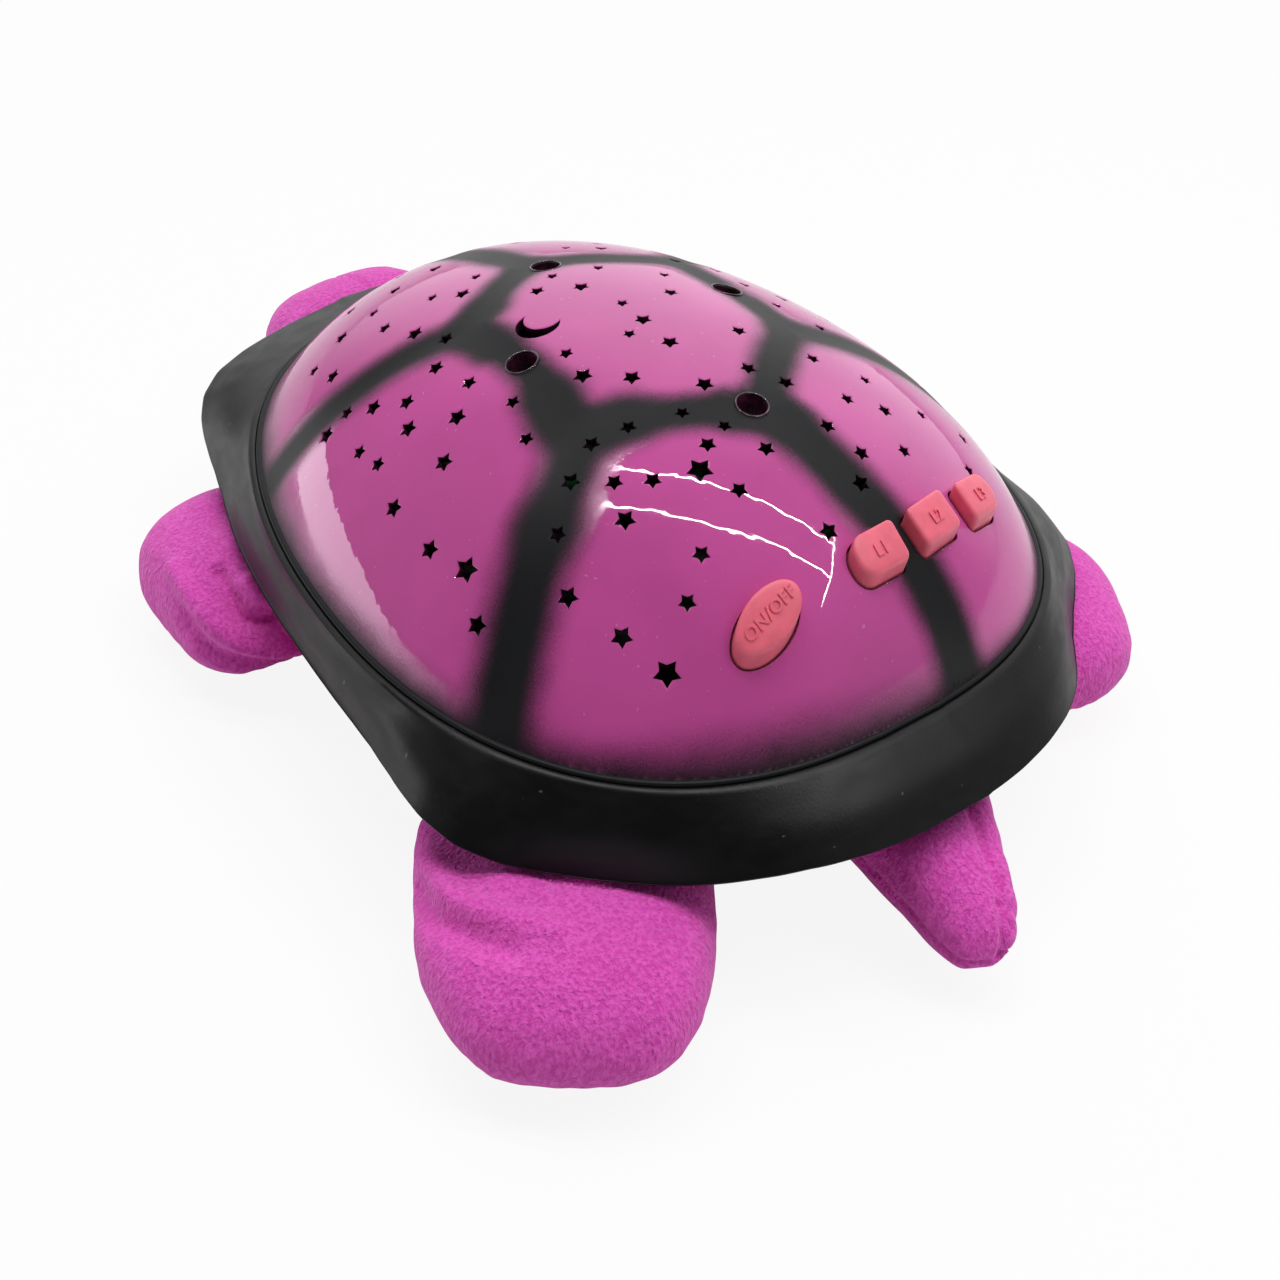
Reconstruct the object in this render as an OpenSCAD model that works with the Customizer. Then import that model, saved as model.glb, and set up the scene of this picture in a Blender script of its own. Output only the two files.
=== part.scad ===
// Star night light projector: a hard star-pierced dome on a plush turtle body.
// Millimetres, +Y towards the head, -Y towards the tail, floor at z = 0.

/* [Dome] */
// Length of the dome at its base
dome_length = 200; // [190:2:210]
// Width of the dome at its base
dome_width = 163; // [156:1:170]
// Height of the dome above its base
dome_height = 49; // [46:1:52]
// How much wider the dome is towards the tail
dome_egg = 0.11; // [0.08:0.01:0.13]
// Wall of the dome
dome_wall = 2.2; // [1.8:0.1:2.6]
// Height of the dome's base above the floor
base_height = 50; // [48:1:54]
// How far the bead round the dome's foot stands out
bead_out = 0.7; // [0.6:0.1:1.4]
// Height of the bead
bead_height = 1.6; // [1.2:0.1:2.4]
// Size of the stars as a share of their listed sizes
star_share = 0.8; // [0.7:0.02:1]
// Inner radius of a star as a share of its outer radius
star_waist = 0.47; // [0.4:0.01:0.55]
// Diameter of the moon hole
moon_d = 10.2; // [9:0.2:12]

/* [Screw wells] */
// Diameter of a screw well in the dome
well_d = 7; // [6:0.5:8]
// Depth of a screw well below the dome's surface
well_depth = 8; // [6:0.5:10]
// Wall round a screw well
well_wall = 2; // [1.5:0.1:3]
// Thickness of a well's floor
well_floor = 2.5; // [2:0.1:3.5]
// Distance of the side wells from the middle
well_side_x = 28.7; // [27:0.1:31]
// Place of the side wells along the shell
well_side_y = 0.7; // [0.4:0.1:1.2]
// Place of the rear well along the shell
well_rear_y = -43; // [-46:1:-41]
// Place of the front well along the shell
well_front_y = 33; // [30:1:35]
// Shank of the dome screws
dome_screw_d = 2.9; // [2.5:0.1:3.2]

/* [Buttons] */
// Tilt of the button board and of the way the buttons are pressed
press_tilt = 12; // [10:1:14]
// Distance between the light buttons
button_pitch = 18; // [17.6:0.1:18.4]
// Width of a light button
button_size = 13; // [12:0.1:13.6]
// Depth of a light button
button_depth = 8.2; // [7.6:0.1:8.8]
// Length of the oval ON/OFF button
oval_length = 16.4; // [15:0.2:17]
// Width of the oval ON/OFF button
oval_width = 9.6; // [9:0.2:10.6]
// Slant of the oval button
oval_slant = 13; // [8:1:18]
// How far the buttons stand out of the dome
button_rise = 3.3; // [2.8:0.1:4]
// Gap round a button
button_gap = 0.5; // [0.4:0.05:0.7]
// Width of the flange that keeps a button in
button_flange = 1.3; // [1:0.1:1.5]
// Travel of a button
button_travel = 1; // [0.8:0.1:1.2]

/* [Skirt] */
// Thickness of the skirt
skirt_wall = 2; // [1.6:0.1:2.4]
// Reach of the skirt at the tail
skirt_tail_reach = 18; // [16:0.5:20]
// Reach of the lobes over the rear flippers
skirt_rear_reach = 18.5; // [17:0.5:21]
// Reach of the skirt at the waist
skirt_side_reach = 5.5; // [5:0.5:7]
// Reach of the lobes over the front flippers
skirt_front_reach = 24; // [21:0.5:26]
// Reach of the hood over the neck
skirt_head_reach = 18; // [16:0.5:20]
// Drop of the skirt's edge at the tail and the sides
skirt_drop = 14; // [12:0.5:15]
// Drop of the hood's edge over the neck
skirt_head_drop = 3.5; // [3:0.5:5]

/* [Tray] */
// Depth of the tray below the dome
tray_depth = 22; // [21:0.5:23]
// Depth of the battery box below the dome
bay_depth = 36; // [35.5:0.1:37]
// Wall of the tray
tray_wall = 2; // [1.6:0.1:2.4]
// How far the tray's wall lies inside the dome's foot
tray_inset = 12; // [11.5:0.1:12.5]
// Diameter of the pillars under the dome's wells
pillar_d = 9; // [8:0.5:10]
// Thickness of the white lamp plate
lamp_plate_wall = 1.8; // [1.4:0.1:2.2]
// Height of the lamp board above the dome's base
lamp_board_z = 4; // [3:0.5:6]
// Diameter of the lamp board
lamp_board_d = 38; // [34:1:40]
// Thickness of the circuit boards
board_wall = 1.6; // [1.2:0.1:1.8]
// Diameter of the lamps
led_d = 5; // [4.8:0.1:5.4]

/* [Batteries] */
// Diameter of a cell
cell_d = 10.5; // [10.2:0.1:10.6]
// Length of a cell
cell_length = 44.5; // [44:0.1:44.6]
// Number of cells
cell_count = 3; // [3:1:3]
// Place of the battery bay along the shell
bay_y = 40; // [39:0.5:41]
// Thickness of the battery door
door_wall = 1.8; // [1.6:0.1:2]
// Room between the bay and what is in it
bay_gap = 0.6; // [0.5:0.1:0.7]

/* [Plush body] */
// Room round the battery bay in the plush
flap_room = 3; // [2:0.5:3.5]
// Half width of a flipper at its widest
flipper_half_width = 30.5; // [29:0.5:33]
// Half width of a front flipper at its widest
front_half_width = 27; // [26:0.5:30]
// Half thickness of a flipper at its thickest
flipper_half_thick = 16; // [15:0.5:16]
// Half width of the head
head_half_width = 28; // [26:0.5:30]
// Half width of the tail at its root
tail_half_width = 19; // [18:0.5:21]
// Diameter of the eyes
eye_d = 10; // [9:0.5:11]

/* [Hidden] */
$fn = 48;

// ---- the dome: a body of revolution about a lengthwise axis below its base ----

half_len = dome_length / 2;
end_half = 9;
outline_power = 2.16;
// Sizes at which the plan below was drawn, and how far the plan is spread from them
drawn_length = 200;
drawn_width = 163;
spread = [dome_width / drawn_width, dome_length / drawn_length];
function plan(x, y) = [x * spread[0], y * spread[1]];
tail_end = -half_len;
end_power = 0.4;
outline_step = 6;
axis_drop = (pow(dome_width / 2, 2) - pow(dome_height, 2)) / (2 * dome_height);
round_axis = [-90, 0, 0];

// Half width of the dome's foot at y
function half_width(y) = max(
    end_half,
    dome_width / 2 * pow(max(0, 1 - pow(abs(y) / half_len, outline_power)), end_power)
        * (1 - dome_egg * y / half_len)
);
// Radius of the revolved dome at y
function dome_radius(y) = sqrt(pow(half_width(y), 2) + pow(axis_drop, 2));
function dome_slope(y) = dome_radius(y + 0.5) - dome_radius(y - 0.5);
// Height of the dome's surface above its base at x, y
function dome_z(x, y) = sqrt(pow(dome_radius(y), 2) - x * x) - axis_drop;
// Outward direction of the dome's surface at x, y
function unit(v) = v / norm(v);
function dome_normal(x, y) = unit([
    x,
    -dome_radius(y) * dome_slope(y),
    dome_z(x, y) + axis_drop
]);
// Point t degrees round the foot, from the tail at 0 to the head at 180
function foot_point(t) = [
    (t < 180 ? 1 : -1) * half_width(-half_len * cos(t)),
    -half_len * cos(t)
];
foot = concat(
    [for (t = [0 : outline_step : 180]) foot_point(min(t, 179.99))],
    [for (t = [180 : -outline_step : 0]) let (p = foot_point(min(t, 179.99))) [-p[0], p[1]]]
);
foot_count = len(foot);
// Outward direction of the foot's outline at its point i
function foot_normal(i) = let (
    ahead = foot[(i + 1) % foot_count],
    behind = foot[(i + foot_count - 1) % foot_count],
    along = unit(ahead - behind)
) [along[1], -along[0]];
// The foot's outline, grown outwards
function outline(grow) = [for (i = [0 : foot_count - 1]) foot[i] + grow * foot_normal(i)];

function profile_point(t, grow) = let (
    y = -half_len * cos(t),
    normal = unit([1, -dome_slope(y)])
) [dome_radius(y) + grow * normal[0], y + grow * normal[1]];
function dome_profile(grow) = let (
    points = [for (t = [0 : outline_step : 180]) profile_point(t, grow)],
    last = len(points) - 1
) concat([[0, points[0][1]]], points, [[0, points[last][1]]]);

module at_base(z = 0) {
    translate([0, 0, base_height + z]) children();
}

// The dome's form as a solid, grown outwards
module dome_form(grow) {
    at_base(-axis_drop) rotate(round_axis) rotate_extrude($fn = 96) polygon(dome_profile(grow));
}

// The half of space above a height over the dome's base
module above(z) {
    at_base(z) translate([-dome_length, -dome_length, 0])
        cube([2 * dome_length, 2 * dome_length, dome_length]);
}

// A plate or block with the dome's outline
module outline_block(grow, z_low, z_high) {
    at_base(z_low) linear_extrude(z_high - z_low) polygon(outline(grow));
}

module outline_ring(grow_out, grow_in, z_low, z_high) {
    at_base(z_low) linear_extrude(z_high - z_low) difference() {
        polygon(outline(grow_out));
        polygon(outline(grow_in));
    }
}

// Puts a flat shape on the dome's surface at x, y, facing outwards
module on_dome(x, y) {
    normal = dome_normal(x, y);
    turn = atan2(normal[1], normal[0]);
    translate([x, y, base_height + dome_z(x, y)])
        rotate([0, acos(normal[2]), turn])
        rotate([0, 0, -turn])
        children();
}

// ---- stars and moon, each star as [x, y, size], by the plates of the shell ----

centre_stars = [
    [-10, 22, 5], [-3, 26, 4], [-2, 16, 5.5], [8, 23, 4], [19, 12, 4], [13, 2, 5],
    [0, 3, 4], [-1, -6, 5.5], [-7, -9, 4], [15, -20, 5], [-2, -17, 5.5], [-21, -5, 4.5],
    [-23, -14, 6], [-16, -22, 5.5], [-5, -33, 5.5], [7, -33, 5], [-14, -37, 4], [12, -40, 5]
];
rear_left_stars = [
    [-9, -45, 4], [-33, -31, 5], [-25, -33, 4.5], [-41, -35, 5.5], [-35, -42, 5],
    [-29, -47, 5], [-20, -51, 7.5], [-15, -47, 5], [-5, -54, 5], [-16, -59, 5],
    [-38, -50, 6], [-49, -42, 5], [-30, -65, 5], [-54, -53, 6], [-37, -70, 5],
    [-50, -66, 6], [-46, -76, 7.5], [-4, -74, 5.5]
];
rear_right_stars = [
    [12, -54, 5], [15, -62, 5], [10, -68, 5.5], [23, -48, 4.5], [27, -63, 4.5],
    [31, -52, 5], [25, -34, 4.5], [34, -42, 4], [43, -52, 4], [46, -66, 5], [55, -55, 5]
];
side_stars = [
    [-41, -19, 4.5], [-37, -8, 4.5], [-39, 6, 5], [-40, 18, 5.5], [-46, 0, 6], [-53, 9, 6],
    [-49, 16, 5.5], [-53, 24, 6], [-56, 31, 5], [-61, 17, 5], [-61, 9, 5], [-54, -7, 6],
    [-65, -4, 6], [-66, -20, 6], [-64, -31, 7.5], [-68, -41, 6], [-61, 32, 6]
];
front_stars = [
    [-33, 25, 5], [-35, 35, 6], [-36, 47, 5], [-20, 38, 5.5], [-13, 43, 4], [-24, 45, 4],
    [-32, 59, 4.5], [-40, 61, 6], [-23, 64, 5.5], [-12, 63, 6], [-50, 48, 6], [-49, 59, 5],
    [-14, 77, 5], [-30, 74, 5]
];
function mirrored(stars) = [for (s = stars) [-s[0], s[1], s[2]]];
stars = concat(
    centre_stars, rear_left_stars, rear_right_stars,
    side_stars, mirrored(side_stars), front_stars, mirrored(front_stars)
);
moon_place = plan(-18.7, 9.2);
moon_way = 30;
punch_depth = 10;

module star_shape(size) {
    polygon([
        for (i = [0 : 9])
            let (r = size / 2 * (i % 2 == 0 ? 1 : star_waist))
            [r * cos(90 + 36 * i), r * sin(90 + 36 * i)]
    ]);
}

module star_punches() {
    for (s = stars)
        on_dome(s[0] * spread[0], s[1] * spread[1]) linear_extrude(punch_depth, center = true) star_shape(star_share * s[2]);
}

module moon_punch() {
    on_dome(moon_place[0], moon_place[1]) rotate([0, 0, moon_way])
        linear_extrude(punch_depth, center = true) difference() {
            circle(d = moon_d);
            translate([moon_d * 0.27, 0]) circle(d = moon_d * 0.88);
        }
}

// ---- screw wells ----

well_places = [
    [0, well_rear_y], [0, well_front_y], [-well_side_x, well_side_y], [well_side_x, well_side_y]
];
screw_room = 0.5;
function well_seat_z(place) = dome_z(place[0], place[1]) - well_depth;

module well_boss(place) {
    low = well_seat_z(place) - well_floor;
    intersection() {
        at_base(low) translate(place) cylinder(d = well_d + 2 * well_wall, h = dome_height);
        dome_form(-dome_wall / 2);
    }
}

module well_bore(place) {
    at_base(well_seat_z(place)) translate(place) cylinder(d = well_d, h = dome_height);
    at_base(well_seat_z(place) - well_floor - 1) translate(place)
        cylinder(d = dome_screw_d + screw_room, h = dome_height);
}

// ---- buttons, in the inclined frame of the button board ----

board_face = dome_height - 23.4;
first_button_u = 2.9;
light_button_u = [for (i = [0 : 2]) first_button_u + i * button_pitch];
light_button_v = [tail_end + 26.6, tail_end + 28.9, tail_end + 32.2];
key_slant = [4, 12, 14];
power_button = [-25.8, tail_end + 25.6];
switch_size = 6;
switch_height = 3.6;
plunger_d = 3.5;
plunger_rise = 1.2;
plunger_tail = 1.2;
plunger_room = 0.3;
plunger_top = board_face + switch_height + plunger_rise;
post_d = 4.5;
stem_places = [power_button, for (i = [0 : 2]) [light_button_u[i], light_button_v[i]]];
flange_gap = 0.4;
flange_wall = 1.2;

// u runs across the shell, v up the slope, w out of the board
module in_board(w = 0) {
    at_base(0) rotate([press_tilt, 0, 0]) translate([0, 0, w]) children();
}

module ellipse(long, short) {
    polygon([for (a = [0 : 7.5 : 352.5]) [long / 2 * cos(a), short / 2 * sin(a)]]);
}

// Outline of the oval button, grown outwards
module oval_outline(grow) {
    translate(power_button) rotate([0, 0, oval_slant])
        ellipse(oval_length + 2 * grow, oval_width + 2 * grow);
}

key_corner = 1.4;
end_corner = 3.7;

// A block with rounded corners, larger ones at the row's outer ends
module key_outline(index, grow) {
    length = button_size + 2 * grow;
    depth = button_depth + 2 * grow;
    left = grow + (index == 0 ? end_corner : key_corner);
    right = grow + (index == 2 ? end_corner : key_corner);
    translate([light_button_u[index], light_button_v[index]]) rotate([0, 0, key_slant[index]]) {
        translate([-length / 2, -depth / 2 + left]) square([length / 2, depth - 2 * left]);
        translate([0, -depth / 2 + right]) square([length / 2, depth - 2 * right]);
        translate([-length / 2 + left, -depth / 2]) square([length - left - right, depth]);
        for (side = [-1, 1]) {
            translate([left - length / 2, side * (depth / 2 - left)]) circle(r = left);
            translate([length / 2 - right, side * (depth / 2 - right)]) circle(r = right);
        }
    }
}

module button_outline(index, grow) {
    if (index < 0) oval_outline(grow);
    else key_outline(index, grow);
}

button_prism = 50;

module button_cap(index) {
    place = stem_places[index + 1];
    difference() {
        intersection() {
            in_board(board_face) linear_extrude(button_prism) button_outline(index, 0);
            dome_form(button_rise);
        }
        dome_form(-dome_wall - flange_gap - flange_wall);
    }
    difference() {
        intersection() {
            in_board(board_face) linear_extrude(button_prism)
                button_outline(index, button_flange);
            dome_form(-dome_wall - flange_gap);
        }
        dome_form(-dome_wall - flange_gap - flange_wall);
    }
    intersection() {
        in_board(plunger_top) translate(place) cylinder(d = post_d, h = button_prism);
        dome_form(-dome_wall);
    }
}

module button_window(index) {
    in_board(board_face) linear_extrude(button_prism) button_outline(index, button_gap);
}

board_boss_places = [
    [-24, tail_end + 38], [4, tail_end + 43.7], [35, tail_end + 46.4], [-11.5, tail_end + 26.9]
];
board_left = -36;
board_rear = tail_end + 20;
board_length = 78;
board_width = 30;
board_boss_d = 5;
board_screw_d = 2;
board_screw_room = 0.2;

module board_boss(place) {
    intersection() {
        in_board(board_face) translate(place) cylinder(d = board_boss_d, h = button_prism);
        dome_form(-dome_wall / 2);
    }
}

module board_boss_bore(place) {
    in_board(board_face - 1) translate(place)
        cylinder(d = board_screw_d + board_screw_room, h = 7);
}

// ---- sub-parts of the hard shell ----

lip_out = -1.4;
lip_in = -3.2;
land_in = -1;

module dome_shell() {
    color("#c8559f") difference() {
        union() {
            difference() {
                intersection() {
                    dome_form(0);
                    above(0);
                }
                dome_form(-dome_wall);
            }
            outline_ring(bead_out, -1.5, 0, bead_height);
            outline_ring(lip_out, lip_in, -skirt_wall, 0.5);
            for (place = well_places) well_boss(place);
            for (place = board_boss_places) board_boss(place);
        }
        for (place = well_places) well_bore(place);
        for (place = board_boss_places) board_boss_bore(place);
        for (index = [-1 : 2]) button_window(index);
        star_punches();
        moon_punch();
    }
}

// Solid between rings of points, each ring with as many points
module skin(rings) {
    count = len(rings[0]);
    last = len(rings) - 1;
    points = [for (ring = rings) each ring];
    low_cap = [for (i = [0 : count - 1]) i];
    high_cap = [for (i = [count - 1 : -1 : 0]) last * count + i];
    sides = [
        for (k = [0 : last - 1], i = [0 : count - 1])
            let (j = (i + 1) % count, a = k * count, b = (k + 1) * count)
            each [[a + i, b + i, b + j], [a + i, b + j, a + j]]
    ];
    polyhedron(points, concat([low_cap, high_cap], sides));
}

// Reach and drop of the skirt's edge, t degrees round from the tail
lobe_drop = skirt_drop - 2;
reach_at = [
    [-30, skirt_tail_reach - 3], [0, skirt_tail_reach], [25, skirt_tail_reach - 3],
    [38, skirt_tail_reach - 4], [46, skirt_rear_reach - 2], [55, skirt_rear_reach],
    [62, skirt_rear_reach - 3], [70, skirt_side_reach + 3], [85, skirt_side_reach],
    [110, skirt_side_reach + 1], [125, skirt_side_reach + 4], [140, skirt_front_reach - 7],
    [152, skirt_front_reach - 1], [161, skirt_front_reach], [170, skirt_head_reach + 3],
    [180, skirt_head_reach], [190, skirt_head_reach + 3]
];
drop_at = [
    [-30, skirt_drop], [120, skirt_drop - 0.5], [146, lobe_drop], [157, lobe_drop - 3],
    [165, skirt_head_drop + 2], [180, skirt_head_drop], [190, skirt_head_drop]
];
function smooth_lookup(t, table) =
    (lookup(t - 5, table) + 2 * lookup(t, table) + lookup(t + 5, table)) / 4;
function round_from_tail(i) = i < foot_count / 2
    ? i * outline_step
    : (foot_count - 1 - i) * outline_step;

// Sections of the skirt: outwards along the top, and back below
function skirt_section(reach, drop) = let (run = reach - 1.6) [
    [land_in, 0], [1.6, 0], [1.6 + run * 0.3, -drop * 0.2], [1.6 + run * 0.65, -drop * 0.52],
    [reach - 0.6, -drop + 0.5], [reach, -drop], [reach - 0.6, -drop - skirt_wall * 0.6],
    [1.2 + run * 0.65, -drop * 0.52 - skirt_wall], [1.2 + run * 0.3, -drop * 0.2 - skirt_wall],
    [0.8, -skirt_wall], [land_in, -skirt_wall]
];
skirt_corners = len(skirt_section(10, 10));

module rim_skirt() {
    rings = [
        for (i = [0 : foot_count - 1])
            let (
                t = round_from_tail(i),
                section = skirt_section(
                    smooth_lookup(t, reach_at),
                    smooth_lookup(t, drop_at)
                )
            )
            [for (s = section) let (p = foot[i] + s[0] * foot_normal(i)) [p[0], p[1], s[1]]]
    ];
    points = [for (ring = rings) each ring];
    faces = [
        for (i = [0 : foot_count - 1], k = [0 : skirt_corners - 1])
            let (
                a = i * skirt_corners,
                b = ((i + 1) % foot_count) * skirt_corners,
                n = (k + 1) % skirt_corners
            )
            each [[a + k, b + k, b + n], [a + k, b + n, a + n]]
    ];
    color("#1c1c1e") at_base() polyhedron(points, faces);
}

tray_rim = 2;
tray_lip = 0.6;
tray_floor = -tray_depth + tray_wall;
bay_wall = 1.6;
bay_bottom = -bay_depth;
contact_wall = 0.5;
spring_length = 5;
bay_length = cell_length + spring_length + 2 * contact_wall + bay_gap;
cell_pitch = cell_d + 0.4;
bay_width = cell_count * cell_pitch + 2 * bay_gap;
cell_z = bay_bottom + door_wall + cell_d / 2 + 0.3;
post_places = [plan(-52, 22), plan(52, 22), plan(-48, -48), plan(48, -48)];
plate_post_d = 7;
plate_screw_d = 2.4;
plate_z = -skirt_wall;
boss_x = bay_length / 2 + 6;
boss_end = boss_x + 5.6;
door_screw_d = 2.6;
door_screw_room = 1.4;
door_screw_reach = 4;
door_tongue = 9;
tab_x = -bay_length / 2;
tab_width = 6;
tab_room = 0.4;
tab_length = 3;
tab_swing = 3.8;

module at_bay(z = 0) {
    at_base(z) translate([0, bay_y, 0]) children();
}

module centred_block(length, width, z_low, z_high) {
    translate([-length / 2, -width / 2, z_low]) cube([length, width, z_high - z_low]);
}

// Block from x_low to x_high under the tray, centred on the bay
module bay_block(x_low, x_high, width, z_low, z_high) {
    at_bay(z_low) translate([x_low, -width / 2, 0])
        cube([x_high - x_low, width, z_high - z_low]);
}

module pillar(place) {
    at_base(tray_floor - 1) translate(place)
        cylinder(d = pillar_d, h = well_seat_z(place) - well_floor - tray_floor + 1);
}

module pillar_bore(place) {
    at_base(well_seat_z(place) - well_floor - 10) translate(place)
        cylinder(d = dome_screw_d + 0.2, h = 11);
}

module base_tray() {
    color("#26262a") difference() {
        union() {
            outline_ring(tray_lip, -tray_inset - tray_wall, -skirt_wall - tray_rim, -skirt_wall);
            outline_ring(-tray_inset, -tray_inset - tray_wall, -tray_depth, -skirt_wall - 1);
            outline_block(-tray_inset, -tray_depth, tray_floor);
            for (place = well_places) pillar(place);
            for (place = post_places)
                at_base(tray_floor - 1) translate(place)
                    cylinder(d = plate_post_d, h = plate_z - tray_floor + 1);
            bay_block(
                tab_x - tab_length - bay_wall, bay_length / 2 + bay_wall,
                bay_width + 2 * bay_wall, bay_bottom, tray_floor - 1
            );
            bay_block(
                bay_length / 2, boss_end, door_tongue + 2 * tab_room + 2 * bay_wall,
                bay_bottom, tray_floor - 1
            );
        }
        for (place = well_places) pillar_bore(place);
        for (place = post_places)
            at_base(plate_z - 8) translate(place) cylinder(d = plate_screw_d, h = 9);
        bay_block(tab_x, bay_length / 2, bay_width, bay_bottom - 1, -tray_depth);
        bay_block(
            bay_length / 2 - 1, boss_end + 1, door_tongue + 2 * tab_room,
            bay_bottom - 1, bay_bottom + door_wall + 0.3
        );
        at_bay(bay_bottom) translate([boss_x, 0, -1])
            cylinder(d = door_screw_d + door_screw_room, h = door_wall + door_screw_reach + 2);
        for (side = [-1, 1])
            translate([0, side * bay_width / 4, 0]) bay_block(
                tab_x - tab_length, tab_x + 1, tab_width + 2 * tab_room,
                bay_bottom - 1, bay_bottom + door_wall + tab_swing
            );
    }
}

module battery_door() {
    color("#2e2e33") difference() {
        union() {
            bay_block(
                tab_x + tab_room, bay_length / 2 - tab_room, bay_width - 2 * tab_room,
                bay_bottom, bay_bottom + door_wall
            );
            bay_block(
                bay_length / 2 - 2, boss_end - 0.6, door_tongue,
                bay_bottom, bay_bottom + door_wall
            );
            for (side = [-1, 1])
                translate([0, side * bay_width / 4, 0]) bay_block(
                    tab_x - tab_length + tab_room, tab_x + 2, tab_width,
                    bay_bottom, bay_bottom + door_wall
                );
        }
        at_bay(bay_bottom) translate([boss_x, 0, -1])
            cylinder(d = door_screw_d + 0.2, h = door_wall + 2);
        for (rib = [-3 : 3])
            translate([rib * 5, 0, 0]) bay_block(
                -0.6, 0.6, bay_width / 2, bay_bottom - 1, bay_bottom + 0.5
            );
    }
}

module door_screw() {
    color("silver") at_bay(bay_bottom) translate([boss_x, 0, 0]) {
        translate([0, 0, -1.4]) cylinder(d = door_screw_d * 1.9, h = 1.4);
        cylinder(d = door_screw_d, h = door_wall + door_screw_reach);
    }
}

module lamp_plate() {
    color("white") difference() {
        outline_block(lip_in - 0.3, plate_z, plate_z + lamp_plate_wall);
        for (place = well_places)
            at_base(plate_z - 1) translate(place)
                cylinder(d = pillar_d + 1, h = lamp_plate_wall + 2);
        for (place = post_places)
            at_base(plate_z - 1) translate(place)
                cylinder(d = plate_screw_d + 0.6, h = lamp_plate_wall + 2);
        at_base(plate_z - 1) translate([-12, -22, 0]) cylinder(d = 6, h = lamp_plate_wall + 2);
    }
    for (a = [30 : 120 : 270])
        color("white") at_base(plate_z + lamp_plate_wall - 0.01)
            rotate([0, 0, a]) translate([lamp_stand_r, 0, 0])
            difference() {
                cylinder(d = 5, h = lamp_board_z - plate_z - lamp_plate_wall + 0.01);
                translate([0, 0, 1]) cylinder(d = board_screw_d, h = 20);
            }
}

lamp_stand_r = lamp_board_d / 2 - 4;
lamp_top = lamp_board_z + board_wall;

module light_board() {
    color("#1f7a3d") difference() {
        at_base(lamp_board_z) cylinder(d = lamp_board_d, h = board_wall);
        for (a = [30 : 120 : 270])
            at_base(lamp_board_z - 1) rotate([0, 0, a]) translate([lamp_stand_r, 0, 0])
                cylinder(d = board_screw_d + 0.4, h = board_wall + 2);
    }
}

led_ring_r = 6;
collar_d = 22;
collar_height = 6;

module led(index, shade) {
    color(shade) at_base(lamp_top) rotate([0, 0, 90 + 120 * index])
        translate([led_ring_r, 0, 0]) {
            cylinder(d = led_d + 0.8, h = 1);
            cylinder(d = led_d, h = 6);
            translate([0, 0, 6]) sphere(d = led_d);
        }
}

module led_collar() {
    color("#f4f4f0") at_base(lamp_top) difference() {
        cylinder(d = collar_d, h = collar_height);
        for (index = [0 : 2])
            rotate([0, 0, 90 + 120 * index]) translate([led_ring_r, 0, -1]) {
                cylinder(d = led_d + 1.2, h = 2.4);
                cylinder(d = led_d + 0.4, h = collar_height + 2);
            }
    }
}

module timer_parts() {
    color("#2b2b2b") at_base(lamp_top) {
        translate([-12, -8, 0]) cylinder(d = 5, h = 1.6);
        translate([12, -8, 0]) cylinder(d = 4, h = 6.5);
        for (y = [13, 16]) translate([-2.5, y - 0.8, 0]) cube([5, 1.6, 1.2]);
    }
}

module dome_screw(place) {
    at_base(well_seat_z(place)) translate(place) difference() {
        union() {
            cylinder(d = 5.6, h = 2.2);
            translate([0, 0, -well_floor - 8]) cylinder(d = dome_screw_d, h = well_floor + 9);
        }
        for (a = [0, 90]) rotate([0, 0, a]) translate([-1.7, -0.4, 1.2]) cube([3.4, 0.8, 2]);
    }
}

module dome_screws() {
    color("#8e9094") for (place = well_places) dome_screw(place);
}

module button_board() {
    color("#1f7a3d") difference() {
        in_board(board_face - board_wall) translate([board_left, board_rear, 0])
            cube([board_length, board_width, board_wall]);
        for (place = board_boss_places)
            in_board(board_face - board_wall - 1) translate(place)
                cylinder(d = board_screw_d + 0.4, h = board_wall + 2);
    }
}

module tact_switches() {
    color("#3a3a3a") for (place = stem_places)
        in_board(board_face) translate(place) difference() {
            centred_block(switch_size, switch_size, 0, switch_height);
            translate([0, 0, switch_height - plunger_tail - button_travel - plunger_room])
                cylinder(d = plunger_d + 2 * plunger_room, h = switch_height);
        }
}

module plunger(index) {
    color("#101010") in_board(plunger_top - plunger_rise - plunger_tail)
        translate(stem_places[index + 1]) cylinder(d = plunger_d, h = plunger_rise + plunger_tail);
}

module button(index) {
    color("#eb6b75") button_cap(index);
}

module board_screws() {
    color("silver") {
        for (place = board_boss_places)
            in_board(board_face - board_wall) translate(place) {
                translate([0, 0, -1.4]) cylinder(d = 4, h = 1.4);
                cylinder(d = board_screw_d, h = board_wall + 5);
            }
        for (a = [30 : 120 : 270])
            at_base(lamp_top) rotate([0, 0, a]) translate([lamp_stand_r, 0, 0]) {
                cylinder(d = 4, h = 1.4);
                translate([0, 0, -board_wall - 3])
                    cylinder(d = board_screw_d - 0.1, h = board_wall + 3);
            }
    }
}

module plate_screws() {
    color("silver") for (place = post_places)
        at_base(plate_z + lamp_plate_wall) translate(place) {
            cylinder(d = 4.8, h = 1.6);
            translate([0, 0, -7]) cylinder(d = plate_screw_d - 0.1, h = 7);
        }
}

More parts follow.
